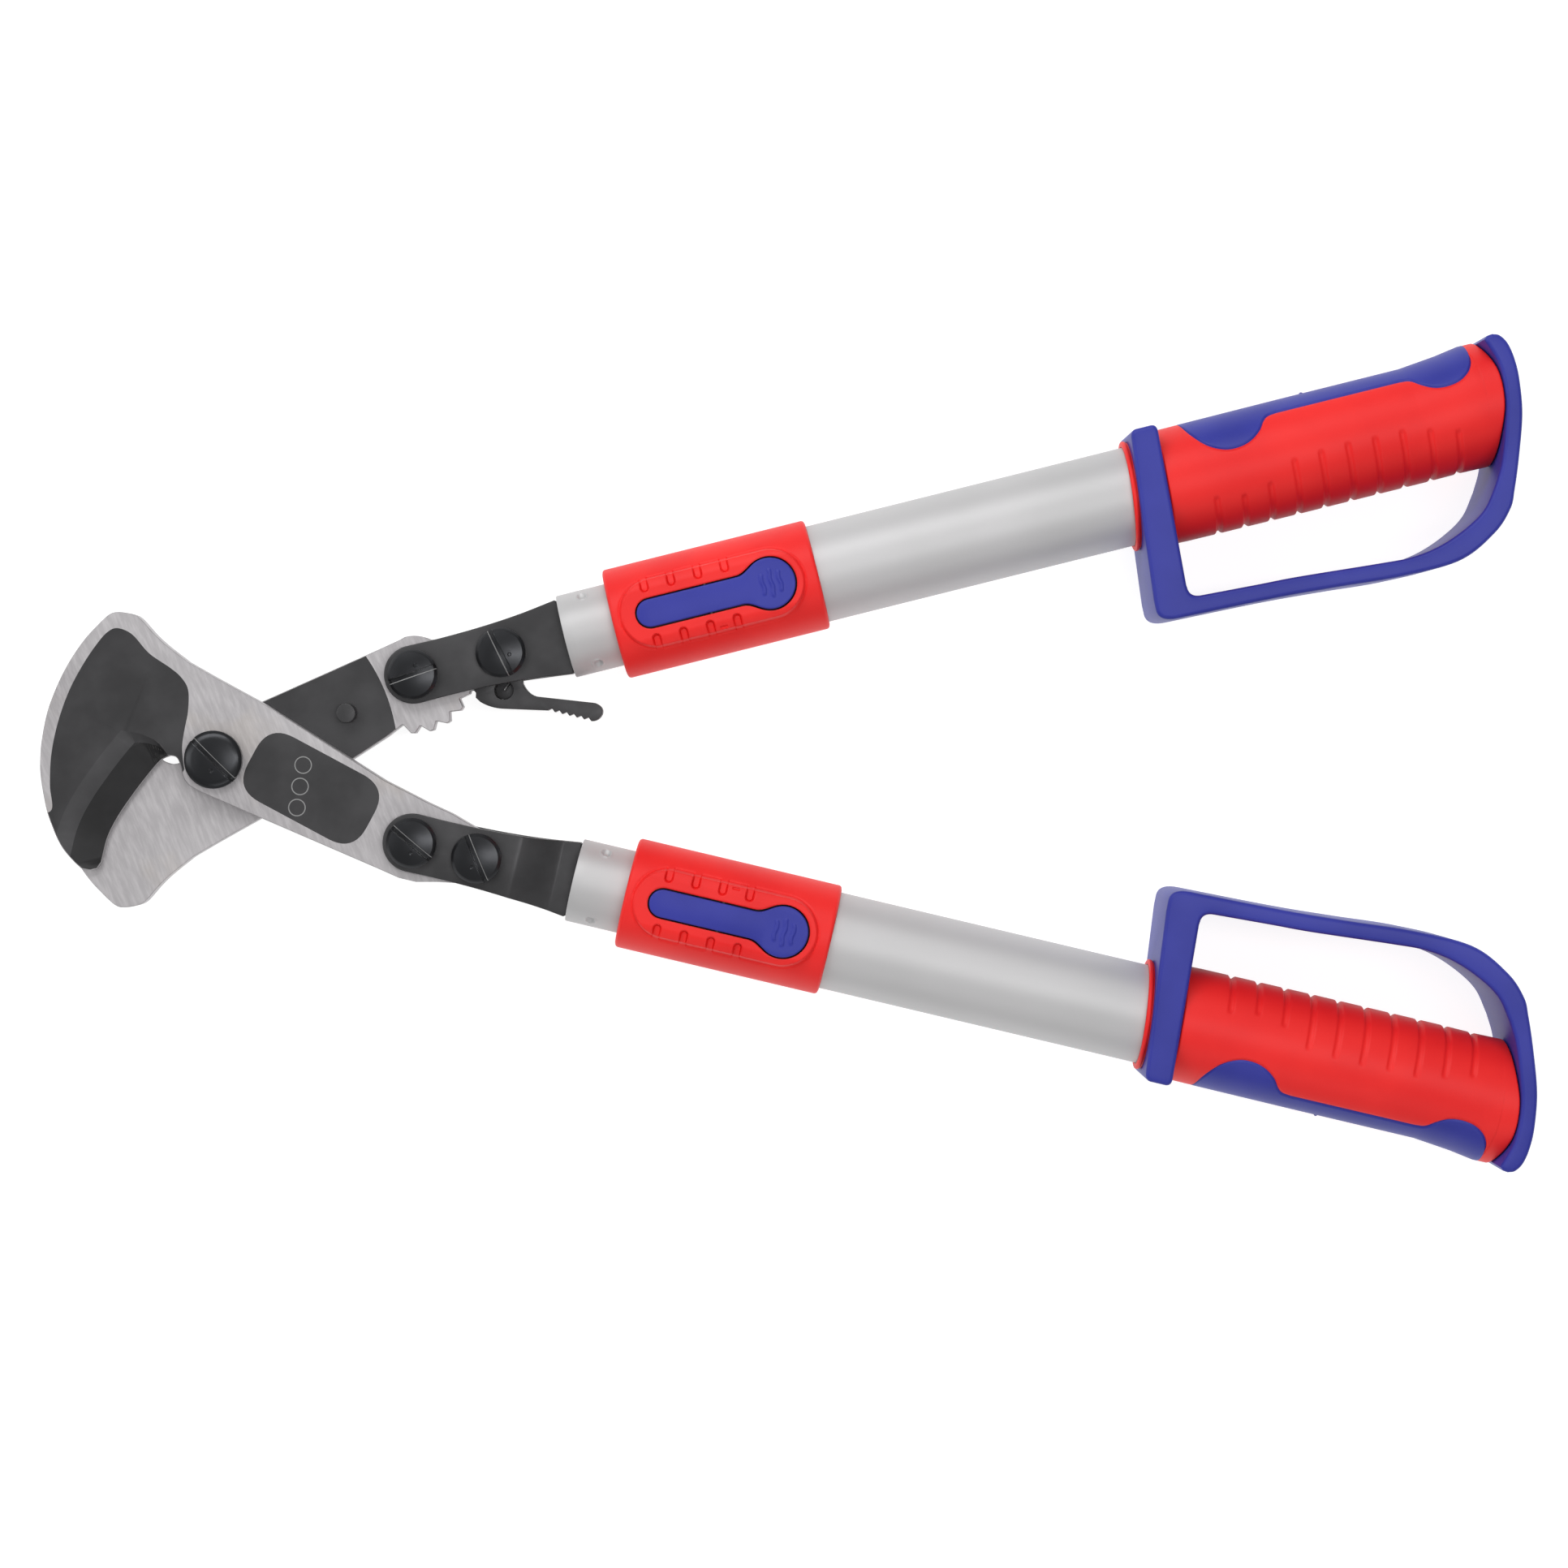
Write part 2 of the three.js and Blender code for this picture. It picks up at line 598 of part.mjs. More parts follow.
function lockSleeve() {
  const guide = innerTubeRadius + fit;
  const bore = outerTubeRadius + fit;
  const shell = turnedAlongX([
    [guide, 0], [sleeveRadius - 1.3, 0], [sleeveRadius, 1.5], [sleeveRadius, sleeveLength - 1.5],
    [sleeveRadius - 1.3, sleeveLength], [bore, sleeveLength], [bore, sleeveShoulder],
    [guide, sleeveShoulder], [guide, 0],
  ]);
  let field = slab(oblongPlan(fieldStart, sleeveLength - 5.2, fieldHalf), 10, fieldTop)
    .subtract(bar(bore, 0, sleeveLength));
  // the raised field's edges are notched like a scale, four each side
  for (let i = 0; i < 4; i++) {
    const at = lockPinAt + i * 10.1;
    for (const side of [-1, 1]) {
      field = field.subtract(block(at - 1.5, at + 1.5, side < 0 ? -14 : 9, side < 0 ? -9 : 14,
        fieldTop - 1.2, fieldTop + 1));
    }
  }
  const pinHole = new THREE.CylinderGeometry(leverPinRadius + fit, leverPinRadius + fit,
    2 * (leverPinHalf + fit), 12).translate(leverPinAt, 0, leverPinZ);
  return shell.add(field)
    .subtract(slab(keyholePlan(leverGap), 10, 30))
    .subtract(solid(pinHole));
}

function lockLever() {
  const plate = slab(keyholePlan(0), leverTop - leverThickness, leverTop);
  const lug = block(leverPinAt - 3, leverPinAt + 3, -leverBarHalf + 0.6, leverBarHalf - 0.6,
    outerTubeRadius + 0.35, leverTop - 0.5);
  const pinHole = new THREE.CylinderGeometry(leverPinRadius + fit, leverPinRadius + fit, 30, 12)
    .translate(leverPinAt, 0, leverPinZ);
  let lever = plate.add(lug)
    .subtract(solid(pinHole))
    .subtract(post(1.2, 10, leverTop - 0.6, lockPinAt, 0, 12));
  for (const [at, half] of [[-2.6, 3.6], [0.6, 5], [3.8, 3.6]]) {
    lever = lever.add(block(leverPadAt + at - 0.7, leverPadAt + at + 0.7, -half, half,
      leverTop - 0.5, leverTop + 0.5));
  }
  return lever;
}

// the steel pin under the lever's bar, held just clear of the inner tube
function lockPin() {
  const tip = innerTubeRadius + fit;
  return turnedUpright([
    [0, tip], [lockPinRadius - 0.4, tip], [lockPinRadius, tip + 0.4],
    [lockPinRadius, leverTop - leverThickness - faceGap], [0.9, leverTop - leverThickness - faceGap],
    [0.9, leverTop - 1], [0, leverTop - 1],
  ], 16);
}

// a bowed strip under the lever's pad
function leafSpring() {
  const low = outerTubeRadius + 0.25;
  const crown = leverTop - leverThickness - 0.25;
  const arch = along([point(leverPadAt - 7, low), point(leverPadAt, crown - 0.35),
    point(leverPadAt + 7, low)], 8);
  const strip = shapeOf([...arch, ...arch.map(p => point(p.x, p.y + 0.35)).reverse()]);
  const sheet = new THREE.ExtrudeGeometry(strip, { depth: 5, bevelEnabled: false });
  return solid(sheet.rotateX(Math.PI / 2).translate(0, 2.5, 0));
}

function leverAxle() {
  return solid(new THREE.CylinderGeometry(leverPinRadius, leverPinRadius, 2 * leverPinHalf, 12)
    .translate(leverPinAt, 0, leverPinZ));
}

// ---------------------------------------------------------------- grip and guard

// both are drawn from the guard's front face, with the hand on the +Y side;
// the strap is placed from where its inside starts
const strap = gripRadius + handRoom;
const front = (x, y) => point(x, strap + y);
const behind = (x, y) => point(gripLength + x, strap + y);
const collarFoot = -neckRadius - 1.6;
const wallFoot = y => y - gripShift - strap;

const collarFront = [point(2.2, collarFoot), front(-4.2, -2.4)];
const collarRear = [front(8.8, -2.9), point(12.2, collarFoot)];

function endWallInside(gap) {
  return along([
    behind(-9.6 - gap, -13.3), behind(-5.4 - gap, -20.9), behind(-1.2 - gap, wallFoot(9.7)),
    behind(1.5 - gap, wallFoot(-0.2)), behind(2.2 - gap, wallFoot(-12.5)),
    behind(-0.8 - gap, wallFoot(-23.3)),
  ], 7);
}

function guardBody() {
  const outside = along([
    front(2.5, 6.2), front(38.8, 7.6), front(85.8, 11.1), behind(-29, 10.6), behind(-14.3, 4),
    behind(-6.5, -3.2), behind(-3.2, -9.8), behind(1.3, -21.2), behind(6.2, wallFoot(6.5)),
    behind(8.3, wallFoot(-6)), behind(8.4, wallFoot(-14)), behind(7.3, wallFoot(-20)),
    behind(5.1, wallFoot(-23.4)), behind(2.5, wallFoot(-24.6)),
  ], 26);
  const inside = along([
    front(13.3, 0), front(49.5, 2), front(91.2, 5.1), behind(-24.4, -0.2),
    behind(-15.8, -5.4), behind(-9.6, -13.3),
  ], 12).reverse();
  const outline = [
    ...collarFront, front(-4.4, 2.6), front(-2.2, 5.4), ...outside, behind(0.4, wallFoot(-24.4)),
    ...endWallInside(0).reverse(), ...inside.slice(1), front(10, -0.8), ...collarRear,
  ];
  const geometry = new THREE.ExtrudeGeometry(shapeOf(outline), {
    depth: 2 * (guardHalfDepth - guardEdge), bevelEnabled: true, bevelThickness: guardEdge,
    bevelSize: guardEdge, bevelOffset: -guardEdge, bevelSegments: 1,
  });
  const spigot = bar(outerBore - fit, gripLength - 14, gripLength + 4);
  return solid(geometry.translate(0, 0, guardEdge - guardHalfDepth))
    .subtract(bar(neckRadius + fit, -20, 30))
    .add(spigot);
}

// the inlay's edge along the grip: a front lobe, a straight band and a rear lobe
function inlayPlan(margin) {
  const [start, end] = [22.8 - margin, gripLength - 5.2 + margin];
  const across = y => y - gripShift + margin;
  const edge = -gripRadius - 0.6;
  const frontLobe = along([
    point(start, edge), point(start + 5.2, across(-11)), point(38, across(-6.8)),
    point(48.4, across(-10.8)), point(57, across(-16.3)),
  ], 10);
  const rearLobe = along([
    point(gripLength - 30, across(-16)), point(gripLength - 18.4, across(-10.1)),
    point(gripLength - 9, across(-13.3)), point(end, edge),
  ], 8);
  return shapeOf([...frontLobe, ...rearLobe, point(end, edge - 10), point(start, edge - 10)]);
}

// the grip's outside as oval rings; it swells away from the hand towards its end
function gripOutside() {
  const rings = [
    [5, gripRadius - 0.4, gripDepthRadius - 0.8, 0], [16, gripRadius, gripDepthRadius - 0.5, 0],
    [60, gripRadius + 0.2, gripDepthRadius - 0.3, 0],
    [gripLength - 30, gripRadius + 0.2, gripDepthRadius - 0.2, 0],
    [gripLength - 16, gripRadius + 0.8, gripDepthRadius, -0.8],
    [gripLength - 7, gripRadius + 1.6, gripDepthRadius, -1.4],
    [gripLength + 10, gripRadius + 1.6, gripDepthRadius, -1.4],
  ];
  const sides = roundSides;
  return loft(rings.map(([x, across, deep, shift]) => {
    return Array.from({ length: sides }, (unused, i) => {
      const angle = 2 * Math.PI * i / sides;
      const ring = new THREE.Vector3(x, shift + across * Math.cos(angle), deep * Math.sin(angle));
      ring.flatX = ring.y;
      ring.flatY = ring.z;
      return ring;
    });
  }));
}

// what the guard's collar and end wall keep clear at the grip's two ends
function gripEndCuts() {
  const collar = shapeOf([
    point(-20, -60), point(-20, 80), point(collarRear[0].x + fit, collarRear[0].y + 20),
    collarRear[0].clone().add(point(fit, 0)), collarRear[1].clone().add(point(fit, 0)),
    point(collarRear[1].x + fit + 1, -60),
  ]);
  const wall = shapeOf([
    behind(-16, 8), ...endWallInside(fit), behind(-4, -80), behind(60, -80), behind(60, 8),
  ]);
  return slab(collar, -40, 40).add(slab(wall, -40, 40));
}

function gripAndInlay() {
  const outside = gripOutside().subtract(gripEndCuts());
  const core = bar(inlayDepth, 0, gripLength + 20);
  const seat = bar(inlayDepth - fit, 0, gripLength + 20);
  const inlay = outside.intersect(slab(inlayPlan(0), -40, 40)).subtract(core);
  // a lip leans against the collar's front face, on the neck that runs through it
  const lean = Math.atan2(collarFront[0].x - collarFront[1].x, collarFront[1].y - collarFront[0].y);
  const lip = solid(new THREE.CylinderGeometry(neckRadius + 0.8, neckRadius + 0.8, 1.7, roundSides)
    .rotateZ(-Math.PI / 2).rotateZ(lean).translate(-1.15, 0, 0));
  const ahead = solid(new THREE.BoxGeometry(20, 80, 80).translate(-11, 0, 0)
    .rotateZ(lean).translate(-0.7, 0, 0));
  const neck = bar(neckRadius, -6, 18).subtract(ahead);
  const pocket = slab(inlayPlan(fit), -40, 40).subtract(seat);
  const bore = bar(outerTubeRadius + fit, -20, gripLength + 30);
  const grip = outside.subtract(pocket).add(neck).add(lip).subtract(bore);
  return { grip, inlay };
}

// ---------------------------------------------------------------- handles

// one handle in its own frame: +X along it from its first bolt, +Y towards the other handle
function addHandle(prefix, side, mouth, sleeveFront) {
  const handle = new THREE.Group();
  handle.position.set(pivotAt.x, -side * pivotAt.y, 0);
  handle.rotation.z = side * handleAngle * degree;
  handle.scale.y = -side;
  tool.add(handle);

  const name = piece => `${prefix}_${piece}`;
  const tubeFront = mouth + fit;
  const rivetAt = mouth + tangLength * 0.6;
  const tubeEnd = sleeveFront + sleeveShoulder + travel + overlapAtFull;
  const guardAt = sleeveFront + sleeveLength + bareTube;
  const outerEnd = guardAt + gripLength - 17;

  addPiece(handle, name('tube_plug'), tubePlug(tubeFront, mouth + tangLength, rivetAt), aluminium);
  const rivetReach = innerBore - 1.2;
  addPiece(handle, name('plug_rivet'), post(rivetRadius, -rivetReach, rivetReach, rivetAt, 0, 20),
    brightSteel);
  addPiece(handle, name('inner_tube'), innerTube(tubeFront, tubeEnd, sleeveFront + lockPinAt), aluminium);
  addPiece(handle, name('guide_bush'), guideBush(tubeEnd), blackPlastic);

  const outerTube = tubeAlongX(outerTubeRadius, outerTubeWall, sleeveFront + sleeveShoulder + fit, outerEnd)
    .subtract(post(lockPinRadius + 0.6, 5, 30, sleeveFront + lockPinAt, 0, 16));
  addPiece(handle, name('outer_tube'), outerTube, aluminium);

  const atSleeve = new THREE.Group();
  atSleeve.position.x = sleeveFront;
  handle.add(atSleeve);
  addPiece(atSleeve, name('lock_sleeve'), lockSleeve(), redPlastic);
  addPiece(atSleeve, name('lock_lever'), lockLever(), bluePlastic);
  addPiece(atSleeve, name('lever_pin'), leverAxle(), springSteel);
  addPiece(atSleeve, name('lock_pin'), lockPin(), springSteel).position.x = lockPinAt;
  addPiece(atSleeve, name('lever_spring'), leafSpring(), springSteel);

  const atGuard = new THREE.Group();
  atGuard.position.x = guardAt;
  handle.add(atGuard);
  const { grip, inlay } = gripAndInlay();
  addPiece(atGuard, name('grip'), grip, redPlastic);
  addPiece(atGuard, name('grip_inlay'), inlay, bluePlastic);
  addPiece(atGuard, name('guard'), guardBody(), bluePlastic);
  return handle;
}

const fixedCrank = fixedSecondBolt + armEndRadius + fixedCrankRoom;
const fixedMouth = fixedCrank + fixedCrankRun + fixedPlateTail;
const fixedHandle = addHandle('fixed', -1, fixedMouth, fixedMouth + fixedBareInner);
const ratchetCrank = pawlBolt + pawlHub + ratchetCrankRoom;
const ratchetMouth = ratchetCrank + ratchetCrankRun + ratchetPlateTail;
const ratchetHandle = addHandle('ratchet', 1, ratchetMouth, ratchetMouth + ratchetBareInner);

// the fixed handle is bolted to the front blade's arm: its front plate steps over the blade
const fixedPlates = handlePlates(fixedMouth, [0, fixedSecondBolt], fixedCrank, fixedCrank + fixedCrankRun);
addPiece(fixedHandle, 'fixed_front_plate', fixedPlates.stepped, blackSteel);
addPiece(fixedHandle, 'fixed_back_plate', overturned(fixedPlates.flat), blackSteel);
const fixedNutTop = -tangTop - faceGap;
const fixedHeadLow = outerPlateTop + faceGap;
addBolt(fixedHandle, { bolt: 'fixed_bolt_1', nut: 'fixed_nut_1' }, 0, boltShank, boltHead,
  boltHeadHeight, fixedHeadLow, fixedNutTop, -27);
addBolt(fixedHandle, { bolt: 'fixed_bolt_2', nut: 'fixed_nut_2' }, fixedSecondBolt, boltShank, boltHead,
  boltHeadHeight, fixedHeadLow, fixedNutTop, -54);

// the ratchet handle turns on the rear blade's toothed end: its back plate steps over the blade
const ratchetPlates = handlePlates(ratchetMouth, [0, pawlBolt], ratchetCrank, ratchetCrank + ratchetCrankRun);
addPiece(ratchetHandle, 'ratchet_front_plate', ratchetPlates.flat, blackSteel);
addPiece(ratchetHandle, 'ratchet_back_plate', overturned(ratchetPlates.stepped), blackSteel);
const ratchetNutTop = -outerPlateTop - faceGap;
const ratchetHeadLow = tangTop + faceGap;
addBolt(ratchetHandle, { bolt: 'ratchet_pivot_bolt', nut: 'ratchet_pivot_nut' }, 0, boltShank, boltHead,
  boltHeadHeight, ratchetHeadLow, ratchetNutTop, -5);
addBolt(ratchetHandle, { bolt: 'pawl_bolt', nut: 'pawl_nut' }, pawlBolt, boltShank, boltHead,
  boltHeadHeight, ratchetHeadLow, ratchetNutTop, 78);
const bush = post(pawlBushRadius, pawlLow, pawlTop, pawlBolt)
  .subtract(post(boltBore, pawlLow - 1, pawlTop + 1, pawlBolt));
addPiece(ratchetHandle, 'pawl_bush', bush, brightSteel);
addPiece(ratchetHandle, 'pawl', pawlWithPocket(), blackSteel);
addPiece(ratchetHandle, 'pawl_spring', pawlSpring(), springSteel);

// ---------------------------------------------------------------- origin under the middle

tool.updateMatrixWorld(true);
const bounds = new THREE.Box3().setFromObject(tool, true);
const centre = bounds.getCenter(new THREE.Vector3());
tool.position.set(-centre.x, -centre.y, -bounds.min.z);

export default tool;
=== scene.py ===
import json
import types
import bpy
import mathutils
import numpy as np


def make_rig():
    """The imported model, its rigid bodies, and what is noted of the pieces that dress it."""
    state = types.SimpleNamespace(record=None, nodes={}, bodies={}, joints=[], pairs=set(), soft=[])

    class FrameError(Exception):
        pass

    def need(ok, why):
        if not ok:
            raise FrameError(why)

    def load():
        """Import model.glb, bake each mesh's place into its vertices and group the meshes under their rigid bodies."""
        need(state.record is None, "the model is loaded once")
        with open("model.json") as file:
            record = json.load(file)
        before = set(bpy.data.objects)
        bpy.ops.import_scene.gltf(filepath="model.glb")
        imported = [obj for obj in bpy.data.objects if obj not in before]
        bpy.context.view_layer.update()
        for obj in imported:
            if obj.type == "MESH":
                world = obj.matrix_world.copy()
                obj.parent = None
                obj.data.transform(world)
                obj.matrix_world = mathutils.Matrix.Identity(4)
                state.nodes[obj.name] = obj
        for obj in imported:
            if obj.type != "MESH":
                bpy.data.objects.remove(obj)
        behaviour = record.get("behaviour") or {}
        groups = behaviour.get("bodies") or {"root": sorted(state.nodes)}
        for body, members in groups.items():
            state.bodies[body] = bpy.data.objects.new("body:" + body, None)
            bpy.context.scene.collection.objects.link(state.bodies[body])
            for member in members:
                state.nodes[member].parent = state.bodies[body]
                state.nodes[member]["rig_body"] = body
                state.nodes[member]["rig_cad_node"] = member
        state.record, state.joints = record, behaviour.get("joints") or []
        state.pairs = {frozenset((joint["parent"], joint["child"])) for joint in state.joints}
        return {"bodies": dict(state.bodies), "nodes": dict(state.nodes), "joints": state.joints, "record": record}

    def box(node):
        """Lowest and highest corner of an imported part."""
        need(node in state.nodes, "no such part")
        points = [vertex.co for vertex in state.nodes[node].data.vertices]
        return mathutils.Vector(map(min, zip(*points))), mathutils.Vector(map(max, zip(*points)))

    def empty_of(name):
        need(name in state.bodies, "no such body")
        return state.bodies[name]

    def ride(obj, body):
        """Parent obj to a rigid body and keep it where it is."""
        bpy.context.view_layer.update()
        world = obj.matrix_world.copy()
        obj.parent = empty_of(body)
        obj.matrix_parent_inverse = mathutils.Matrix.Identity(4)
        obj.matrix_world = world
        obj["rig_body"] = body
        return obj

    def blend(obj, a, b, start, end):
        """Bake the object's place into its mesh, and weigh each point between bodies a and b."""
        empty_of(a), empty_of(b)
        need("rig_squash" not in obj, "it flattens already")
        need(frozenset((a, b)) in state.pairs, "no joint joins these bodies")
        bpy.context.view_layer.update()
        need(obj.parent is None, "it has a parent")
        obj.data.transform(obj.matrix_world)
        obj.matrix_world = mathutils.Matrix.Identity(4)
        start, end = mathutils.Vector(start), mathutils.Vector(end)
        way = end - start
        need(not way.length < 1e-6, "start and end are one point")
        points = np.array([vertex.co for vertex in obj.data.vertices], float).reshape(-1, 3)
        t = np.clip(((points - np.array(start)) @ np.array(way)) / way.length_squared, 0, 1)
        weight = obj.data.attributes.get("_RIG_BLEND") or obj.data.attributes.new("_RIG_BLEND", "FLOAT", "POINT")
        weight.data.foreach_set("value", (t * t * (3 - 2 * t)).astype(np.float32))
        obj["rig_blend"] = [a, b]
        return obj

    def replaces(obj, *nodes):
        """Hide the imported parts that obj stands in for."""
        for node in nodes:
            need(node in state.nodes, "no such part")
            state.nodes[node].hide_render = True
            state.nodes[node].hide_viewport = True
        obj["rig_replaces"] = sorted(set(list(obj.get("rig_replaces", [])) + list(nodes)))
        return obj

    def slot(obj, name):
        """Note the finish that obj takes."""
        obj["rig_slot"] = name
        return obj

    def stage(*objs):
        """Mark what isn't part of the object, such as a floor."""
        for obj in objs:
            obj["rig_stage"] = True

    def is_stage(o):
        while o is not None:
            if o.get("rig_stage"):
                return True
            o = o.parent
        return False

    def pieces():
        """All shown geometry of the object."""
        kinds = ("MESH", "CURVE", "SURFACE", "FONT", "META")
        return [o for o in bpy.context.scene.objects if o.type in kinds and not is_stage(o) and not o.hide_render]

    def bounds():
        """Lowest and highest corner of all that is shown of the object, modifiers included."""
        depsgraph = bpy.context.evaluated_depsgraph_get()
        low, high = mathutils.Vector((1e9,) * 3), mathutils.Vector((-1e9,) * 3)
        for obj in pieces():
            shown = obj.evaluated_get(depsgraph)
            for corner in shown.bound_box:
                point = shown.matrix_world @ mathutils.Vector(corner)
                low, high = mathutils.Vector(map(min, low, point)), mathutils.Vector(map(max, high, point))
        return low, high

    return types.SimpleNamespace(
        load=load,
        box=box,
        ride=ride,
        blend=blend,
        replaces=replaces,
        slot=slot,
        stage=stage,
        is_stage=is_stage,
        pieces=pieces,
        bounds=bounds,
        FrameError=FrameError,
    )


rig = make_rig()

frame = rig.load()
cad_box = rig.bounds()

import json
import math

import bpy
from mathutils import Vector
from mathutils.geometry import delaunay_2d_cdt

# Lengths below are in millimetres, in the frame of the tool itself: the blades meet at height 0.
MM = 0.001

# ---------------------------------------------------------------- where things are


def centre_of(node):
    low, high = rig.box(node)
    return (low + high) / 2


def joint(name):
    return next(j for j in frame["joints"] if j["name"] == name)


pivot = centre_of("main_pivot_bolt")
shear_plane = (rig.box("blade_front")[0].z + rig.box("blade_rear")[1].z) / 2


class Place:
    """Turns millimetres in a piece's own frame into the row frame."""

    def __init__(self, at, along=(1, 0), flip_y=False, flip_z=False):
        length = math.hypot(along[0], along[1])
        self.x, self.y = at[0], at[1]
        self.c, self.s = along[0] / length, along[1] / length
        self.fy = -1 if flip_y else 1
        self.fz = -1 if flip_z else 1

    def __call__(self, u, v, z):
        u, v, z = u * MM, self.fy * v * MM, self.fz * z * MM
        return (self.x + u * self.c - v * self.s, self.y + u * self.s + v * self.c, shear_plane + z)

    @property
    def mirrored(self):
        return self.fy * self.fz < 0

    def moved(self, u):
        """The same frame, started further along."""
        x, y, _ = self(u, 0, 0)
        place = Place((x, y), (self.c, self.s))
        place.fy, place.fz = self.fy, self.fz
        return place


front_place = Place(pivot)
rear_place = Place(pivot, flip_y=True, flip_z=True)
HANDLES = {}
for prefix, bolt, flip in (("fixed", "fixed_bolt_1", False), ("ratchet", "ratchet_pivot_bolt", True)):
    line = joint(prefix + "_telescope")["axis"]
    HANDLES[prefix] = Place(centre_of(bolt), (line[0], line[1]), flip_y=flip)


def along_handle(prefix, point):
    """How far behind the handle's first bolt a point in the row frame lies, in millimetres."""
    place = HANDLES[prefix]
    return ((point[0] - place.x) * place.c + (point[1] - place.y) * place.s) / MM


def span(prefix, node):
    """Start and end of a round node along its handle, and its radius."""
    place = HANDLES[prefix]
    reach = [((v.co.x - place.x) * place.c + (v.co.y - place.y) * place.s) / MM
             for v in frame["nodes"][node].data.vertices]
    low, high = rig.box(node)
    return min(reach), max(reach), (high.z - low.z) / 2 / MM


# ---------------------------------------------------------------- shader maths


class S:
    """A socket or a number in a material, with arithmetic that adds Math nodes."""

    def __init__(self, mat, socket):
        self.mat, self.socket = mat, socket

    def _op(self, kind, a, b):
        return self.mat.node("ShaderNodeMath", {"operation": kind}, {0: a, 1: b})

    def __add__(self, o): return self._op("ADD", self, o)
    def __radd__(self, o): return self._op("ADD", o, self)
    def __sub__(self, o): return self._op("SUBTRACT", self, o)
    def __rsub__(self, o): return self._op("SUBTRACT", o, self)
    def __mul__(self, o): return self._op("MULTIPLY", self, o)

    def ramp(self, start, end, low=0.0, high=1.0):
        """Runs smoothly from low to high while this value goes from start to end."""
        return self.mat.node("ShaderNodeMapRange", {"interpolation_type": "SMOOTHSTEP"}, {
            "Value": self, "From Min": start, "From Max": end, "To Min": low, "To Max": high})


class Finish:
    """A material under construction."""

    def __init__(self, name, **plain):
        self.material = bpy.data.materials.new(name)
        self.material.use_nodes = True
        self.tree = self.material.node_tree
        self.shader = next(n for n in self.tree.nodes if n.type == "BSDF_PRINCIPLED")
        for socket, value in plain.items():
            self.shader.inputs[socket.replace("_", " ")].default_value = value
        self.place = self.node("ShaderNodeTexCoord", {}, {}, "Object")

    def node(self, kind, settings, inputs, output=0):
        node = self.tree.nodes.new(kind)
        for key, value in settings.items():
            setattr(node, key, value)
        for key, value in inputs.items():
            if isinstance(value, S):
                self.tree.links.new(value.socket, node.inputs[key])
            else:
                node.inputs[key].default_value = value
        return S(self, node.outputs[output])

    def set(self, socket, value):
        self.tree.links.new(value.socket, self.shader.inputs[socket])

    def noise(self, scale, detail=3.0, rough=0.5, stretch=None, turn=0.0):
        place = self.place
        if stretch or turn:
            place = self.node("ShaderNodeMapping", {"vector_type": "TEXTURE"}, {
                "Vector": place, "Rotation": (0, 0, turn), "Scale": stretch or (1, 1, 1)})
        return self.node("ShaderNodeTexNoise", {}, {
            "Vector": place, "Scale": scale, "Detail": detail, "Roughness": rough}, "Fac")

    def mix(self, share, a, b):
        """A colour between two colours; Mix holds its colours in sockets 6 and 7."""
        return self.node("ShaderNodeMix", {"data_type": "RGBA"}, {0: share, 6: a, 7: b}, 2)

    def edge_wear(self, radius):
        """How sharply the surface turns nearby: 1 on worn corners, 0 on flats."""
        bevel = self.node("ShaderNodeBevel", {"samples": 4}, {"Radius": radius})
        geometry = self.node("ShaderNodeNewGeometry", {}, {}, "Normal")
        alike = self.node("ShaderNodeVectorMath", {"operation": "DOT_PRODUCT"},
                          {0: bevel, 1: geometry}, "Value")
        return (1 - alike).ramp(0.02, 0.2)

    def bump(self, height, strength, distance):
        self.set("Normal", self.node("ShaderNodeBump", {}, {
            "Height": height, "Strength": strength, "Distance": distance}))


def rgb(r, g, b):
    return (r, g, b, 1.0)


# ---------------------------------------------------------------- finishes


def black_coating(name, shade, rough, line_turn=0.48):
    """Satin black oxide over ground steel: faint brush lines, mottling, thin bright corners."""
    f = Finish(name, Metallic=0.55, Specular_IOR_Level=0.5)
    mottle = f.noise(48, 4)
    brushed = f.noise(900, 3, 0.6, stretch=(9, 1, 1), turn=line_turn)
    worn = f.edge_wear(0.0004) * f.noise(420, 2).ramp(0.46, 0.62)
    dark, light = [rgb(shade * k, shade * k * 0.985, shade * k * 1.03) for k in (0.80, 1.22)]
    base = f.mix(mottle.ramp(0.3, 0.7), dark, light)
    f.set("Base Color", f.mix(worn * 0.6, base, rgb(0.33, 0.32, 0.31)))
    f.set("Roughness", rough + brushed * 0.14 - worn * 0.1)
    f.bump(brushed, 0.22, 0.00004)
    return f.material


def bolt_black():
    """Turned and blackened bolt: glossier, with fine turning rings left by the tool."""
    f = Finish("bolt_black", Metallic=0.75)
    f.set("Roughness", 0.26 + f.noise(160, 2) * 0.07)
    worn = f.edge_wear(0.0003) * f.noise(300, 2).ramp(0.35, 0.6)
    f.set("Base Color", f.mix(worn * 0.6, rgb(0.030, 0.031, 0.034), rgb(0.16, 0.16, 0.16)))
    f.bump(f.noise(1400, 2), 0.03, 0.00002)
    return f.material


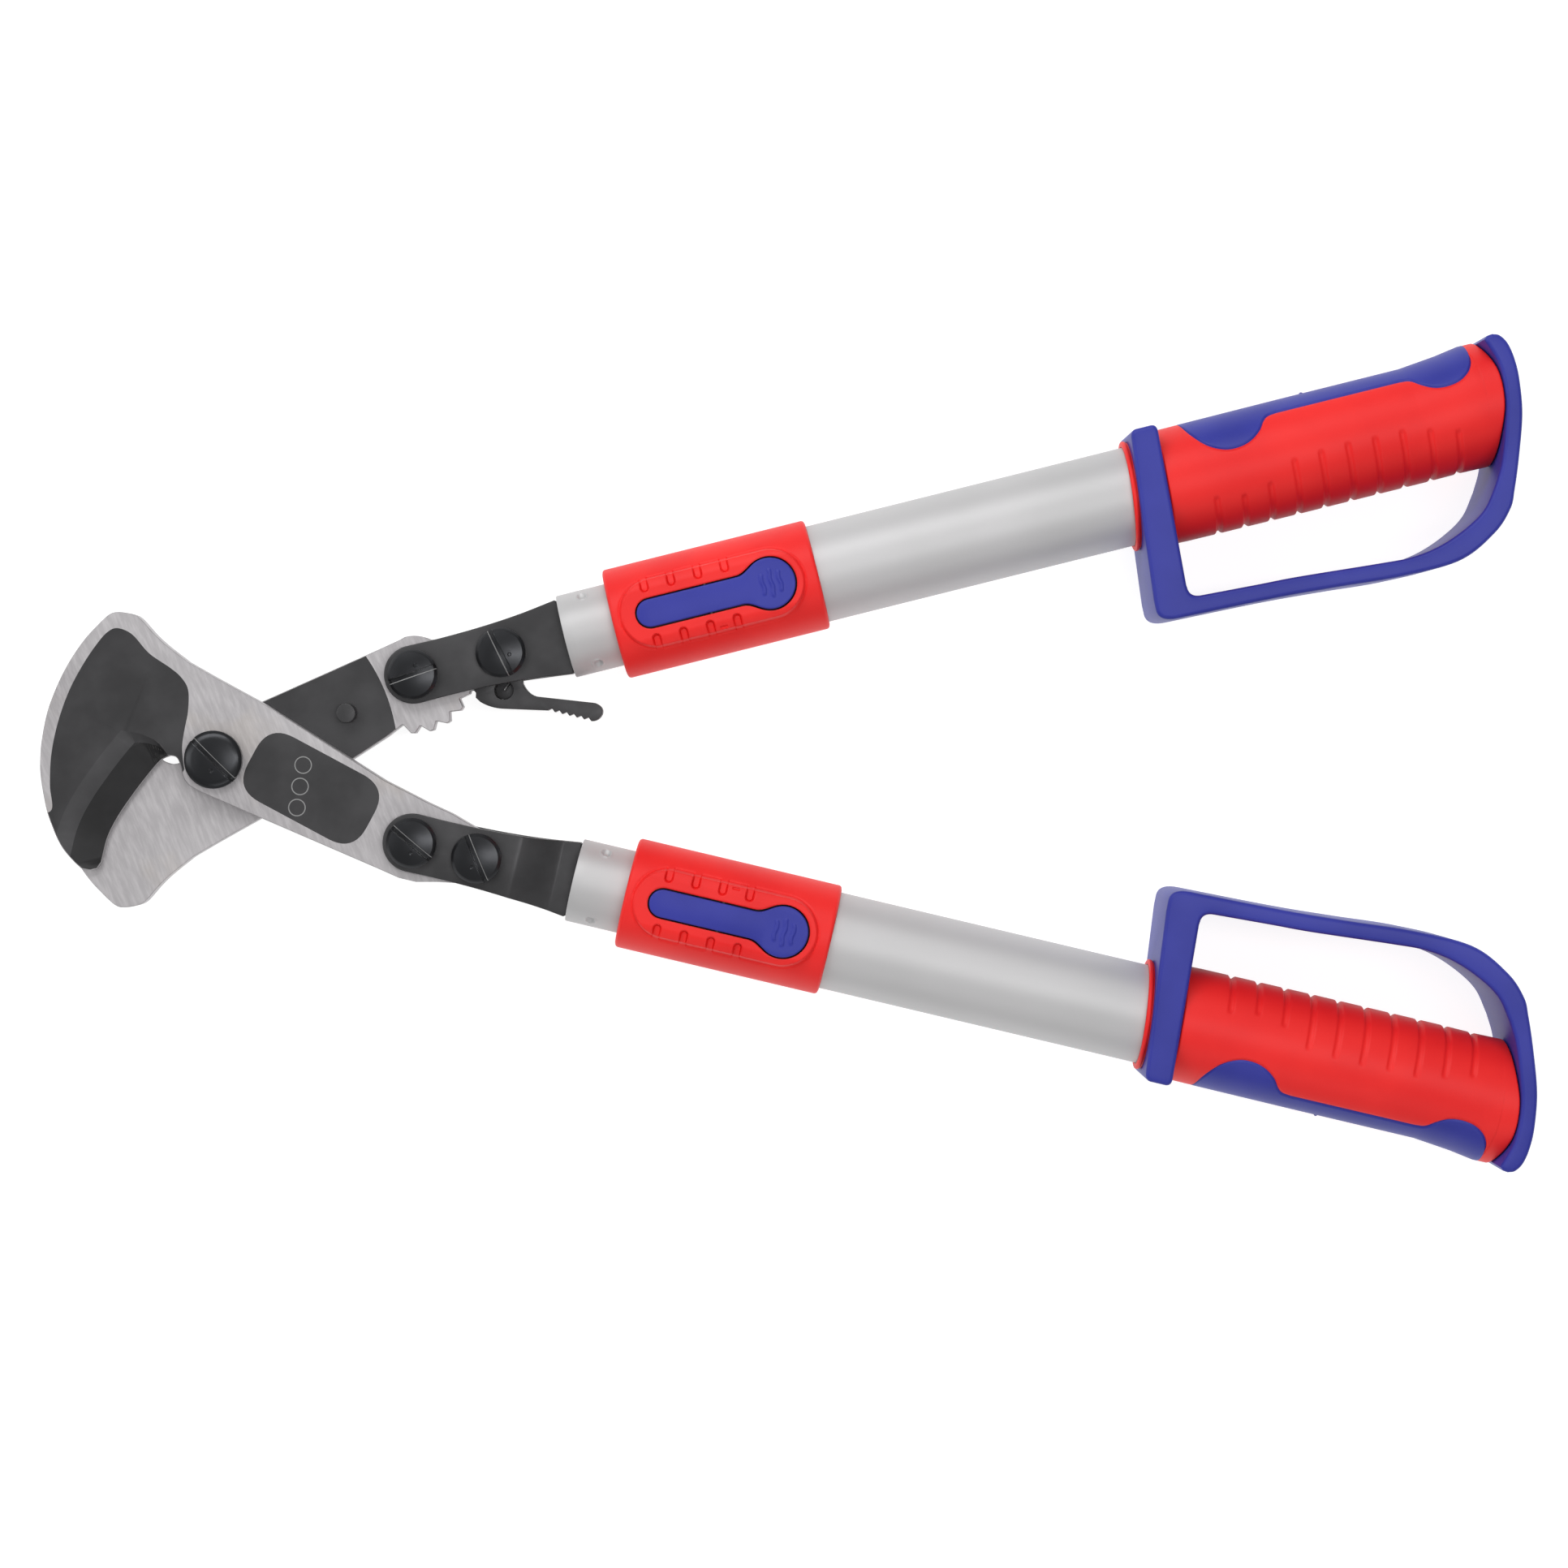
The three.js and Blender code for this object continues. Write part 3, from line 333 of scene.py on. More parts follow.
def ground_steel():
    """Bare blasted and ground steel: warm grey, short scratches across it, a few oily stains."""
    f = Finish("ground_steel", Metallic=0.82)
    scratches = f.noise(620, 4, 0.65, stretch=(6, 1, 1), turn=-1.2)
    grain = f.noise(1500, 2)
    cloud = f.noise(22, 4)
    stain = f.noise(38, 3).ramp(0.60, 0.74)
    base = f.mix(cloud.ramp(0.3, 0.7), rgb(0.365, 0.350, 0.360), rgb(0.455, 0.440, 0.450))
    base = f.mix(scratches.ramp(0.35, 0.75) * 0.35, base, rgb(0.70, 0.68, 0.69))
    f.set("Base Color", f.mix(stain * 0.14, base, rgb(0.50, 0.42, 0.31)))
    f.set("Roughness", 0.42 + cloud * 0.12 + scratches * 0.08)
    f.bump(scratches * 0.7 + grain * 0.3, 0.25, 0.00005)
    return f.material


def etch_and_slot_highlight_steel():
    """The thin lines etched through the coating, and the painted highlight on one lip of each bolt slot."""
    f = Finish("etched_line", Metallic=0.5)
    f.set("Base Color", f.mix(f.noise(900, 2), rgb(0.20, 0.20, 0.20), rgb(0.30, 0.30, 0.30)))
    f.set("Roughness", 0.5 + f.noise(700, 2) * 0.1)
    return f.material


def wire_steel():
    f = Finish("drawn_wire", Metallic=1.0)
    f.set("Base Color", f.mix(f.noise(400, 2), rgb(0.50, 0.50, 0.51), rgb(0.62, 0.62, 0.63)))
    f.set("Roughness", 0.22 + f.noise(900, 2) * 0.12)
    return f.material


def anodised():
    """Satin anodised tube: even warm grey with a very fine blasted grain."""
    f = Finish("satin_anodised", Metallic=0.45)
    grain = f.noise(2600, 2)
    cloud = f.noise(14, 3)
    f.set("Base Color", f.mix(cloud.ramp(0.3, 0.7), rgb(0.500, 0.497, 0.500), rgb(0.545, 0.540, 0.545)))
    f.set("Roughness", 0.50 + grain * 0.12)
    f.bump(grain, 0.12, 0.00002)
    return f.material


def moulded(name, dark, light, rough, grain_depth):
    """Moulded plastic with a fine eroded grain, faint flow clouds and slightly polished corners."""
    f = Finish(name, Specular_IOR_Level=0.30)
    grain = f.noise(2400, 3, 0.6)
    cloud = f.noise(26, 3)
    rubbed = f.edge_wear(0.0007)
    base = f.mix(cloud.ramp(0.32, 0.68), dark, light)
    speck = rgb(*(min(1, c * 1.35) for c in light[:3]))
    f.set("Base Color", f.mix(grain.ramp(0.35, 0.7) * 0.12, base, speck))
    f.set("Roughness", rough + grain * 0.14 - rubbed * 0.08)
    f.bump(grain, grain_depth, 0.00006)
    return f.material


COAT = black_coating("black_coating", 0.047, 0.36)
# darker and lighter copies of the coating: painted shade on the steep cutting slope, painted light on the relief slope
STEEP_SLOPE_PAINTED_SHADE = black_coating("blackened_cutting_slope", 0.024, 0.34, -0.7)
RELIEF_SLOPE_PAINTED_LIGHT = black_coating("blackened_relief_slope", 0.060, 0.40, -0.7)
BOLT = bolt_black()
STEEL = ground_steel()
ETCH_AND_SLOT_HIGHLIGHT = etch_and_slot_highlight_steel()
WIRE = wire_steel()
TUBE = anodised()
RED = moulded("red_plastic", rgb(0.760, 0.012, 0.012), rgb(0.840, 0.018, 0.016), 0.42, 0.24)
BLUE = moulded("blue_plastic", rgb(0.021, 0.027, 0.262), rgb(0.030, 0.037, 0.315), 0.38, 0.22)
# black moulded plastic for the guide bushes, also used as painted shade on the tube band under the lever's gap
BLACK_AND_GAP_SHADE = moulded("black_plastic", rgb(0.016, 0.016, 0.018), rgb(0.026, 0.026, 0.028), 0.5, 0.2)

# ---------------------------------------------------------------- building meshes


def finish_piece(name, verts, faces, materials, body, slot, nodes, smooth=35, index=None):
    """A mesh in the row frame that rides on a body and stands for CAD nodes."""
    mesh = bpy.data.meshes.new(name)
    mesh.from_pydata(verts, [], faces)
    for material in materials:
        mesh.materials.append(material)
    if index:
        mesh.polygons.foreach_set("material_index", index)
    mesh.validate()
    mesh.update()
    piece = bpy.data.objects.new(name, mesh)
    bpy.context.scene.collection.objects.link(piece)
    mesh.shade_smooth()
    mesh.set_sharp_from_angle(angle=math.radians(smooth))
    if body:
        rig.ride(piece, body)
    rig.slot(piece, slot)
    if nodes:
        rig.replaces(piece, *nodes)
    return piece


def facing(faces, flip):
    """The faces, turned over where their piece is mirrored."""
    return [tuple(reversed(f)) for f in faces] if flip else faces


def stack(rows):
    """Points and faces of a solid through rings of points, capped at both ends."""
    n, last = len(rows[0]), len(rows) - 1
    faces = [(r * n + i, r * n + (i + 1) % n, (r + 1) * n + (i + 1) % n, (r + 1) * n + i)
             for r in range(last) for i in range(n)]
    faces += [tuple(range(n - 1, -1, -1)), tuple(last * n + i for i in range(n))]
    return [p for row in rows for p in row], faces


def carve(piece, rows, flip=False):
    """Cuts the solid through some rings of points, given in the row frame, out of a piece."""
    verts, faces = stack(rows)
    mesh = bpy.data.meshes.new("cutter")
    mesh.from_pydata(verts, [], facing(faces, flip))
    cutter = bpy.data.objects.new("cutter", mesh)
    bpy.context.scene.collection.objects.link(cutter)
    cut = piece.modifiers.new("cut", "BOOLEAN")
    cut.object, cut.operation, cut.solver = cutter, "DIFFERENCE", "EXACT"
    bpy.context.view_layer.update()
    seen = piece.evaluated_get(bpy.context.evaluated_depsgraph_get())
    carved = bpy.data.meshes.new_from_object(seen)
    piece.modifiers.clear()
    piece.data = carved
    bpy.data.objects.remove(cutter)


def spline(points, count):
    """A smooth open curve through points."""
    padded = [Vector(p) for p in points]
    padded = [2 * padded[0] - padded[1]] + padded + [2 * padded[-1] - padded[-2]]
    spans = len(points) - 1
    curve = []
    for i in range(count + 1):
        t = i / count * spans
        k = min(int(t), spans - 1)
        t -= k
        a, b, c, d = padded[k:k + 4]
        curve.append(tuple(0.5 * (2 * b + (c - a) * t + (2 * a - 5 * b + 4 * c - d) * t ** 2
                                  + (3 * b - 3 * c + d - a) * t ** 3)))
    return curve


def arc(x, y, radius, start, end, count):
    """Points on an arc, in degrees."""
    turn = [math.radians(start + (end - start) * i / count) for i in range(count + 1)]
    return [(x + radius * math.cos(a), y + radius * math.sin(a)) for a in turn]


def ring(x, y, radius, count=40):
    return arc(x, y, radius, 0, 360, count)[:-1]


def rounded(points, radius, count):
    """A closed outline with its corners rounded."""
    out = []
    for i, point in enumerate(points):
        b = Vector(point)
        to_a, to_c = Vector(points[i - 1]) - b, Vector(points[(i + 1) % len(points)]) - b
        half = to_a.angle(to_c) / 2
        cut = min(radius / math.tan(half), to_a.length * 0.45, to_c.length * 0.45)
        p, q = b + to_a.normalized() * cut, b + to_c.normalized() * cut
        for t in [k / count for k in range(count + 1)]:
            out.append(tuple((1 - t) ** 2 * p + 2 * t * (1 - t) * b + t ** 2 * q))
    return out


def inside(x, y, loop):
    hit = False
    for i, (x1, y1) in enumerate(loop):
        x0, y0 = loop[i - 1]
        if (y0 > y) != (y1 > y) and x < (x1 - x0) * (y - y0) / (y1 - y0) + x0:
            hit = not hit
    return hit


def offset(loop, by):
    """A closed outline moved to its left by a distance."""
    out = []
    for i, point in enumerate(loop):
        a, b, c = Vector(loop[i - 1]), Vector(point), Vector(loop[(i + 1) % len(loop)])
        d, e = (b - a), (c - b)
        if d.length < 1e-9 or e.length < 1e-9:
            out.append(tuple(b))
            continue
        d.normalize()
        e.normalize()
        normal = Vector((-d.y - e.y, d.x + e.x))
        if normal.length < 1e-6:
            normal = Vector((-d.y, d.x))
        normal.normalize()
        reach = min(1 / max(0.35, normal.dot(Vector((-d.y, d.x)))), 1.8)
        out.append(tuple(b + normal * by * reach))
    return out


def area(loop):
    return sum(loop[i - 1][0] * p[1] - p[0] * loop[i - 1][1] for i, p in enumerate(loop)) / 2


class Sheet:
    """A flat cut-out with holes, inner lines and regions of other finishes, kept as one flat net."""

    def __init__(self, outline, holes=(), regions=(), lines=(), inset=0.0):
        outline = outline if area(outline) > 0 else outline[::-1]
        holes = [h if area(h) < 0 else h[::-1] for h in holes]
        self.rims = [offset(outline, inset)] + [offset(h, inset) for h in holes]
        points, edges = [], []
        for loop in self.rims + [r for r, _ in regions]:
            first = len(points)
            points += loop
            edges += [(first + i, first + (i + 1) % len(loop)) for i in range(len(loop))]
        for path in lines:
            first = len(points)
            points += path
            edges += [(first + i, first + i + 1) for i in range(len(path) - 1)]
        found = delaunay_2d_cdt([Vector(p) for p in points], edges, [], 0, 1e-5)
        self.points = [tuple(p) for p in found[0]]
        self.faces, self.finishes = [], []
        for face in found[2]:
            x = sum(self.points[i][0] for i in face) / 3
            y = sum(self.points[i][1] for i in face) / 3
            if not inside(x, y, self.rims[0]) or any(inside(x, y, h) for h in self.rims[1:]):
                continue
            a, b, c = (self.points[i] for i in face)
            turn = (b[0] - a[0]) * (c[1] - a[1]) - (c[0] - a[0]) * (b[1] - a[1])
            if abs(turn) < 1e-9:
                continue
            self.faces.append(tuple(face) if turn > 0 else tuple(reversed(face)))
            finish = 0
            for region, number in regions:
                if inside(x, y, region):
                    finish = number
            self.finishes.append(finish)
        self._trace()

    def _trace(self):
        """Walks round the open edges of the net."""
        open_edges = {}
        for face in self.faces:
            for i in range(3):
                a, b = face[i], face[(i + 1) % 3]
                if (b, a) in open_edges:
                    del open_edges[(b, a)]
                else:
                    open_edges[(a, b)] = True
        after = {a: b for a, b in open_edges}
        self.loops = []
        while after:
            first, nxt = next(iter(after.items()))
            loop = [first]
            del after[first]
            while nxt != first and nxt in after:
                loop.append(nxt)
                nxt = after.pop(nxt)
            self.loops.append(loop)


def plate(name, sheet, low, high, edge, place, materials, body, slot, nodes,
          top=None, bottom=None, smooth=35, steps=3):
    """A sheet given a thickness, with its edges rounded over; top and bottom may follow the plan."""
    top = top or (lambda x, y: high)
    bottom = bottom or (lambda x, y: low)
    count = len(sheet.points)
    verts = [(x, y, level(x, y)) for level in (top, bottom) for x, y in sheet.points]
    faces, index = [], []
    for face, finish in zip(sheet.faces, sheet.finishes):
        faces += [face, tuple(count + i for i in reversed(face))]
        index += [finish, finish]
    turns = [math.pi / 2 * k / steps for k in range(1, steps + 1)]
    sides = [(edge * math.sin(turn), edge * (1 - math.cos(turn))) for turn in turns]
    for loop in sheet.loops:
        flat = [sheet.points[i] for i in loop]
        widened = {out: offset(flat, -out) for out, _ in sides}
        rows = [list(loop)]
        for level, sign, profile in ((top, -1, sides), (bottom, 1, sides[::-1])):
            for out, drop in profile:
                rows.append(list(range(len(verts), len(verts) + len(flat))))
                verts += [(x, y, level(*p) + sign * drop) for (x, y), p in zip(widened[out], flat)]
        rows.append([count + i for i in loop])
        for upper, lower in zip(rows, rows[1:]):
            for i in range(len(loop)):
                j = (i + 1) % len(loop)
                faces.append((upper[i], lower[i], lower[j], upper[j]))
                index.append(0)
    faces = facing(faces, place.mirrored)
    used = sorted({i for f in faces for i in f})
    renumber = {old: new for new, old in enumerate(used)}
    return finish_piece(name, [place(*verts[i]) for i in used],
                        [tuple(renumber[i] for i in f) for f in faces],
                        materials, body, slot, nodes, smooth, index)


def net(name, rows, place, material, body, slot, nodes, smooth=35):
    """A skin through rings of points, with the last ring joined to the first."""
    n, count = len(rows[0]), len(rows)
    faces = [(r * n + i, r * n + (i + 1) % n, (r + 1) % count * n + (i + 1) % n, (r + 1) % count * n + i)
             for r in range(count) for i in range(n)]
    return finish_piece(name, [place(*p) for row in rows for p in row], facing(faces, place.mirrored),
                        [material], body, slot, nodes, smooth)


def tube(name, profile, place, material, body, slot, nodes, sides, shape=None):
    """A hollow turned piece along the handle: a closed profile of (radius, along)."""
    angles = [2 * math.pi * i / sides for i in range(sides)]
    rows = []
    for radius, u in profile:
        radii = [shape(radius, u, a) if shape else radius for a in angles]
        rows.append([(u, r * math.cos(a), r * math.sin(a)) for r, a in zip(radii, angles)])
    return net(name, rows, place, material, body, slot, nodes, smooth=40)


def rise(value, start, end):
    """0 before start, 1 after end and a smooth slope between."""
    t = min(1, max(0, (value - start) / (end - start)))
    return t * t * (3 - 2 * t)

# ---------------------------------------------------------------- blades

BLADE_TOP, BLADE_LOW = 8.0, 0.1
EDGE_LAND = 1.5
BEVEL_DROP = 1.8
GRIND, BEVEL = 17.5, 11.0
ARM, ARM_ANGLE, HANDLE_ANGLE = 79.6, 23.0, 13.65
PLATE_END = 10.8
PIVOT_HOLE, BOLT_HOLE = 7.3, 4.9
BLADE_EDGE = 0.3


def turned_about(u, v, angle, x=0.0, y=0.0):
    c, s = math.cos(math.radians(angle)), math.sin(math.radians(angle))
    return (x + u * c - v * s, y + u * s + v * c)


ARM_END = turned_about(ARM, 0, -ARM_ANGLE)


def from_handle(u, v):
    return turned_about(u, v, -HANDLE_ANGLE, *ARM_END)


CUTTING = [(-43, -37.8), (-40.6, -28.7), (-36.7, -21), (-31.5, -13.4), (-26.8, -7.2), (-22.3, -1.8),
           (-19.9, 0.4), (-16.9, 1.6)]
RIM = [(-41.5, 51.3), (-47.5, 44.9), (-52.9, 37.2), (-57.4, 28.8), (-61.3, 18.9), (-63.5, 8.9), (-64.3, 1.2),
       (-64.1, -6.5), (-62.1, -18), (-59.8, -24.9), (-56.8, -31.8), (-52.9, -37.1), (-49.9, -40.2)]
NECK = [(-9.5, 36.2), (-17.6, 42.6), (-22.3, 47.1), (-26.8, 52.2), (-29.9, 54), (-35.2, 54.8), (-38.3, 54),
        (-41.5, 51.3)]
EDGE_STEPS = 56


def blade_outline(arm_end):
    """The outline, and the two break lines of the grind behind the cutting edge."""
    cutting = spline(CUTTING, EDGE_STEPS)
    rim = spline(RIM, EDGE_STEPS)
    hollow = spline([(-16.9, 1.6), (-13.9, 0.9), (-12.4, -2.4), (-11.6, -6), (-9.6, -9.2),
                     (-5.5, -11.7)], 18)[1:]
    low = [from_handle(-10.5, -12.3), from_handle(-2, -13.9)]
    high = [from_handle(-15.3, 19.9), (19.1, 20.1), (-0.7, 31.1)]
    outline = (cutting + hollow + low + arm_end + high + spline(NECK, 26) + rim[1:]
               + [(-46.8, -40.8), (-44.5, -40.2)])
    return outline, cutting, [grind_line(cutting, width) for width in (BEVEL, GRIND)]


def grind_taper(i):
    """The grind narrows to nothing over its last quarter, at the pivot."""
    return min(1, (1 - i / EDGE_STEPS) * 4)


def grind_line(cutting, width):
    """A line beside the cutting edge; at the tip it turns round the edge's end and off the blade."""
    path = []
    for i in range(EDGE_STEPS):
        along = Vector(cutting[i + 1]) - Vector(cutting[max(0, i - 1)])
        away = Vector((-along.y, along.x)).normalized() * width * grind_taper(i)
        if i == 0:
            path += [turned_about(*away, angle, *cutting[0]) for angle in range(70, 0, -10)]
        path.append(tuple(Vector(cutting[i]) + away))
    return path


def grind_share(x, y, cutting):
    """How far out from the cutting edge a point is, in millimetres of the full grind."""
    here = Vector((x, y))
    i = min(range(len(cutting)), key=lambda k: (Vector(cutting[k]) - here).length)
    taper = grind_taper(i)
    return (Vector(cutting[i]) - here).length / taper if taper > 0.02 else GRIND


def grind_height(cutting):
    """Height of the front face: two slopes behind the cutting edge, and flat everywhere else."""
    def height(x, y):
        out = grind_share(x, y, cutting)
        if out < BEVEL:
            edge = BLADE_LOW + EDGE_LAND
            return edge + (BLADE_TOP - BEVEL_DROP - edge) * out / BEVEL
        return BLADE_TOP - BEVEL_DROP * max(0, GRIND - out) / (GRIND - BEVEL)

    return height


FIXED_ARM_END = ([from_handle(4.4, -13.9), from_handle(12.5, -12)]
                 + [from_handle(*p) for p in arc(24.6, 0, PLATE_END - 1, -80, 70, 14)]
                 + [from_handle(21.4, 10.7), from_handle(11.7, 13.7), from_handle(2.3, 15.6)])


def ratchet_arm_end():
    tip, root, land, pitch, first, count = 21.8, 19.2, 4.2, 18.5, 12.5, 6
    points = arc(0, 0, 14.5, -90, -50, 6) + arc(0, 0, root, -30, -8, 4)
    for tooth in range(count):
        middle = first + tooth * pitch
        points += arc(0, 0, root, middle - land / 2 - 6.2, middle - land / 2 - 5.3, 1)
        points += arc(0, 0, tip, middle - land / 2, middle + land / 2, 3)
    points += arc(0, 0, root, first + count * pitch - land / 2 - 5.3, first + count * pitch - land / 2 - 4, 1)
    return [from_handle(*p) for p in points]


# the front blade keeps a bare rim round its coated jaw, and a coated oblong on its bare arm
outline, cutting, breaks = blade_outline(FIXED_ARM_END)
jaw_coat = (spline([(-66.5, -19.6), (-60.2, -18.2), (-60.7, -9), (-60.1, 2.5), (-57.5, 14.5), (-53.3, 26),
                    (-48, 35.8), (-42.6, 43.6), (-38.8, 47.6), (-35.2, 48.8), (-29.9, 46.4), (-23.8, 39.5),
                    (-16.1, 34.1), (-11.9, 30.4), (-9.4, 25.7), (-9.5, 18), (-10.7, 11.9), (-11.7, 5.8),
                    (-11.6, 1), (-11.0, -3.5)], 150)
            + [(-14.5, -10), (-30, -40), (-45, -52), (-70, -46)])
PATCH_ANGLE = -28.6
patch = [turned_about(u, v, PATCH_ANGLE, 36, -10.5)
         for u, v in rounded([(-24.9, -13.9), (24.9, -13.9), (24.9, 13.2), (-24.9, 13.2)], 10.5, 10)]
marks = []
for at in ((32.9, -2.2), (31.7, -10.1), (30.5, -17.9)):
    marks += [(ring(*at, 3.25), 2), (ring(*at, 2.85), 1)]
far_bolt = from_handle(24.6, 0)
front_sheet = Sheet(outline, [ring(0, 0, PIVOT_HOLE), ring(*ARM_END, BOLT_HOLE), ring(*far_bolt, BOLT_HOLE)],
                    [(jaw_coat, 1), (patch, 1)] + marks, breaks, BLADE_EDGE)
# the grind's two slopes lie inside the coat; the steep cutting slope takes a darker copy of the coating as painted
# shade, the relief slope a lighter copy as painted light
for i, face in enumerate(front_sheet.faces):
    out = grind_share(sum(front_sheet.points[k][0] for k in face) / 3,
                      sum(front_sheet.points[k][1] for k in face) / 3, cutting)
    if out < GRIND - 0.05 and front_sheet.finishes[i] == 1:
        front_sheet.finishes[i] = 3 if out < BEVEL - 0.05 else 4
plate("front_blade", front_sheet, BLADE_LOW, BLADE_TOP, BLADE_EDGE, front_place,
      [STEEL, COAT, ETCH_AND_SLOT_HIGHLIGHT, STEEP_SLOPE_PAINTED_SHADE, RELIEF_SLOPE_PAINTED_LIGHT], "fixed_jaw", "black_steel", ["blade_front"],
      top=grind_height(cutting), steps=1, smooth=20)

# the rear blade is bare beyond an arc round the pivot, and on its whole jaw
outline, cutting, breaks = blade_outline(ratchet_arm_end())
arm_coat = arc(0, 0, 67.2, -62, 8, 40) + [(48, 4), (14, -6), (0, -18), (8, -44)]
rear_sheet = Sheet(outline, [ring(0, 0, PIVOT_HOLE), ring(*ARM_END, BOLT_HOLE), ring(48.5, -16.9, 2.9, 24)],
                   [(arm_coat, 1)], breaks, BLADE_EDGE)
plate("rear_blade", rear_sheet, BLADE_LOW, BLADE_TOP, BLADE_EDGE, rear_place, [STEEL, COAT], "moving_jaw",
      "bright_steel", ["blade_rear"], top=grind_height(cutting), steps=1, smooth=20)

# ---------------------------------------------------------------- bolts, nuts and pins


SLOT_HALF, SLOT_CHAMFER = 0.75, 0.3
SHANK_SIDES = 40


def slotted_bolt(name, node, place, u, shank, head, under, height, tip, slot_angle, body):
    """A turned bolt: crowned head with a sawn slot and a centre pip."""
    top = under + height
    slot_end = SLOT_HALF + SLOT_CHAMFER
    pip_x, pip_y = head * 0.24, -head * 0.3
    head_net = Sheet(ring(0, 0, head, 96), [], [], [
        *[[(-head - 1, side * half), (head + 1, side * half)] for side in (-1, 1)
          for half in (SLOT_HALF - 0.03, SLOT_HALF, slot_end)],
        *[ring(pip_x, pip_y, pip, 20) + [(pip_x + pip, pip_y)] for pip in (0.35, 0.8)],
        *[ring(0, 0, head * k, 96) + [(head * k, 0)] for k in (0.25, 0.5, 0.72, 0.88, 0.95)]], 0.0)

    def crown(x, y):
        r = math.hypot(x, y) / head
        face = top - 0.05 - 1.05 * r ** 2 - 0.9 * rise(r, 0.90, 1.0)
        from_pip = math.hypot(x - pip_x, y - pip_y)
        pip = 0.3 * (1 - rise(from_pip, 0.3, 0.8))
        chamfer = 0.2 * (1 - rise(abs(y), SLOT_HALF - 0.01, slot_end))
        return face - pip - chamfer - (1.6 if abs(y) < SLOT_HALF - 0.015 else 0)

    # one lip of the slot takes a lighter grey: a painted highlight where light catches it
    for i, face in enumerate(head_net.faces):
        if SLOT_HALF < sum(head_net.points[k][1] for k in face) / 3 < slot_end:
            head_net.finishes[i] = 1
    c, s = math.cos(math.radians(slot_angle)), math.sin(math.radians(slot_angle))

    def at(x, y, z):
        return place(u + x * c - y * s, x * s + y * c, z)

    at.mirrored = place.mirrored
    plate(name, head_net, under, top, 0.0, at, [BOLT, ETCH_AND_SLOT_HIGHLIGHT], body, "black_steel", [node],
          top=crown, steps=1, smooth=30)
    profile = [(shank, under + 0.1), (shank, tip + 0.8), (shank - 0.8, tip)]
    verts, faces = stack([[(x, y, z) for x, y in ring(0, 0, r, SHANK_SIDES)] for r, z in profile])
    finish_piece(name + "_shank", [at(*v) for v in verts], facing(faces, not place.mirrored), [BOLT], body,
                 "black_steel", [])


def levels(node):
    low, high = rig.box(node)
    return (low.z - shear_plane) / MM, (high.z - shear_plane) / MM


def offset_on(prefix, node):
    return along_handle(prefix, centre_of(node)) if prefix else 0.0


BOLTS = [
    # node, handle, shank, head radius, head height, slot angle in the handle's frame, body
    ("main_pivot_bolt", None, 7.0, 10.7, 4.6, -45, "fixed_jaw"),
    ("fixed_bolt_1", "fixed", 4.6, 9.2, 4.2, -27, "fixed_jaw"),
    ("fixed_bolt_2", "fixed", 4.6, 9.2, 4.2, -54, "fixed_jaw"),
    ("ratchet_pivot_bolt", "ratchet", 4.6, 9.2, 4.2, -5, "ratchet_handle"),
    ("pawl_bolt", "ratchet", 4.6, 9.2, 4.2, 78, "ratchet_handle"),
]
for node, prefix, shank, head, height, slot_angle, body in BOLTS:
    tip, top = levels(node)
    place = HANDLES[prefix] if prefix else front_place
    slotted_bolt(node.replace("_bolt", "_slotted_bolt"), node, place, offset_on(prefix, node), shank, head,
                 top - height, height, tip, slot_angle, body)


def hex_nut(name, node, place, u, bore, body):
    low, high = levels(node)
    hexagon = rounded([turned_about(bore + 4.6, 0, 60 * i) for i in range(6)], 0.9, 3)
    sheet = Sheet(hexagon, [ring(0, 0, bore + 0.3, 36)], inset=0.5)
    plate(name, sheet, low, high, 0.5, place.moved(u), [BOLT], body, "black_steel", [node])


hex_nut("pivot_hex_nut", "main_pivot_nut", front_place, 0, 7.0, "fixed_jaw")
for node, prefix, body in (("fixed_nut_1", "fixed", "fixed_jaw"), ("fixed_nut_2", "fixed", "fixed_jaw"),
                           ("ratchet_pivot_nut", "ratchet", "ratchet_handle"),
                           ("pawl_nut", "ratchet", "ratchet_handle")):
    hex_nut(node.replace("_nut", "_hex_nut"), node, HANDLES[prefix], offset_on(prefix, node), 4.6, body)

low, high = levels("main_pivot_washer")
plate("pivot_washer", Sheet(ring(0, 0, 11.7, 80), [ring(0, 0, PIVOT_HOLE)], inset=0.25), low, high, 0.25, front_place,
      [STEEL], "fixed_jaw", "bright_steel", ["main_pivot_washer"])
low, high = levels("stop_pin")
pin_at = centre_of("stop_pin")
pin_place = Place(pin_at)
pin_sheet = Sheet(ring(0, 0, 3.6, 56), inset=0.35)
plate("stop_pin_head", pin_sheet, BLADE_LOW, high, 0.35, pin_place, [COAT], "moving_jaw", "black_steel",
      ["stop_pin"])
plate("stop_pin_stem", Sheet(ring(0, 0, 2.6, 40), inset=0.2), low, BLADE_LOW + 0.3, 0.2, pin_place, [COAT],
      "moving_jaw", "black_steel", [])

# ---------------------------------------------------------------- handle plates

TANG_LOW, TANG_TOP = 0.1, 4.1
OUTER_LOW, OUTER_TOP = 8.2, 12.2
STRAP_THICK, STRAP_EDGE = 4, 0.35
MOUTH_HALF = 14.2
INNER_R, INNER_WALL = 15.55, 1.8
TANG_LENGTH = 21
TANG_HALF = math.sqrt((INNER_R - INNER_WALL - 0.5) ** 2 - TANG_TOP ** 2)
ROOTS = {"fixed": "fixed_jaw", "ratchet": "ratchet_handle"}


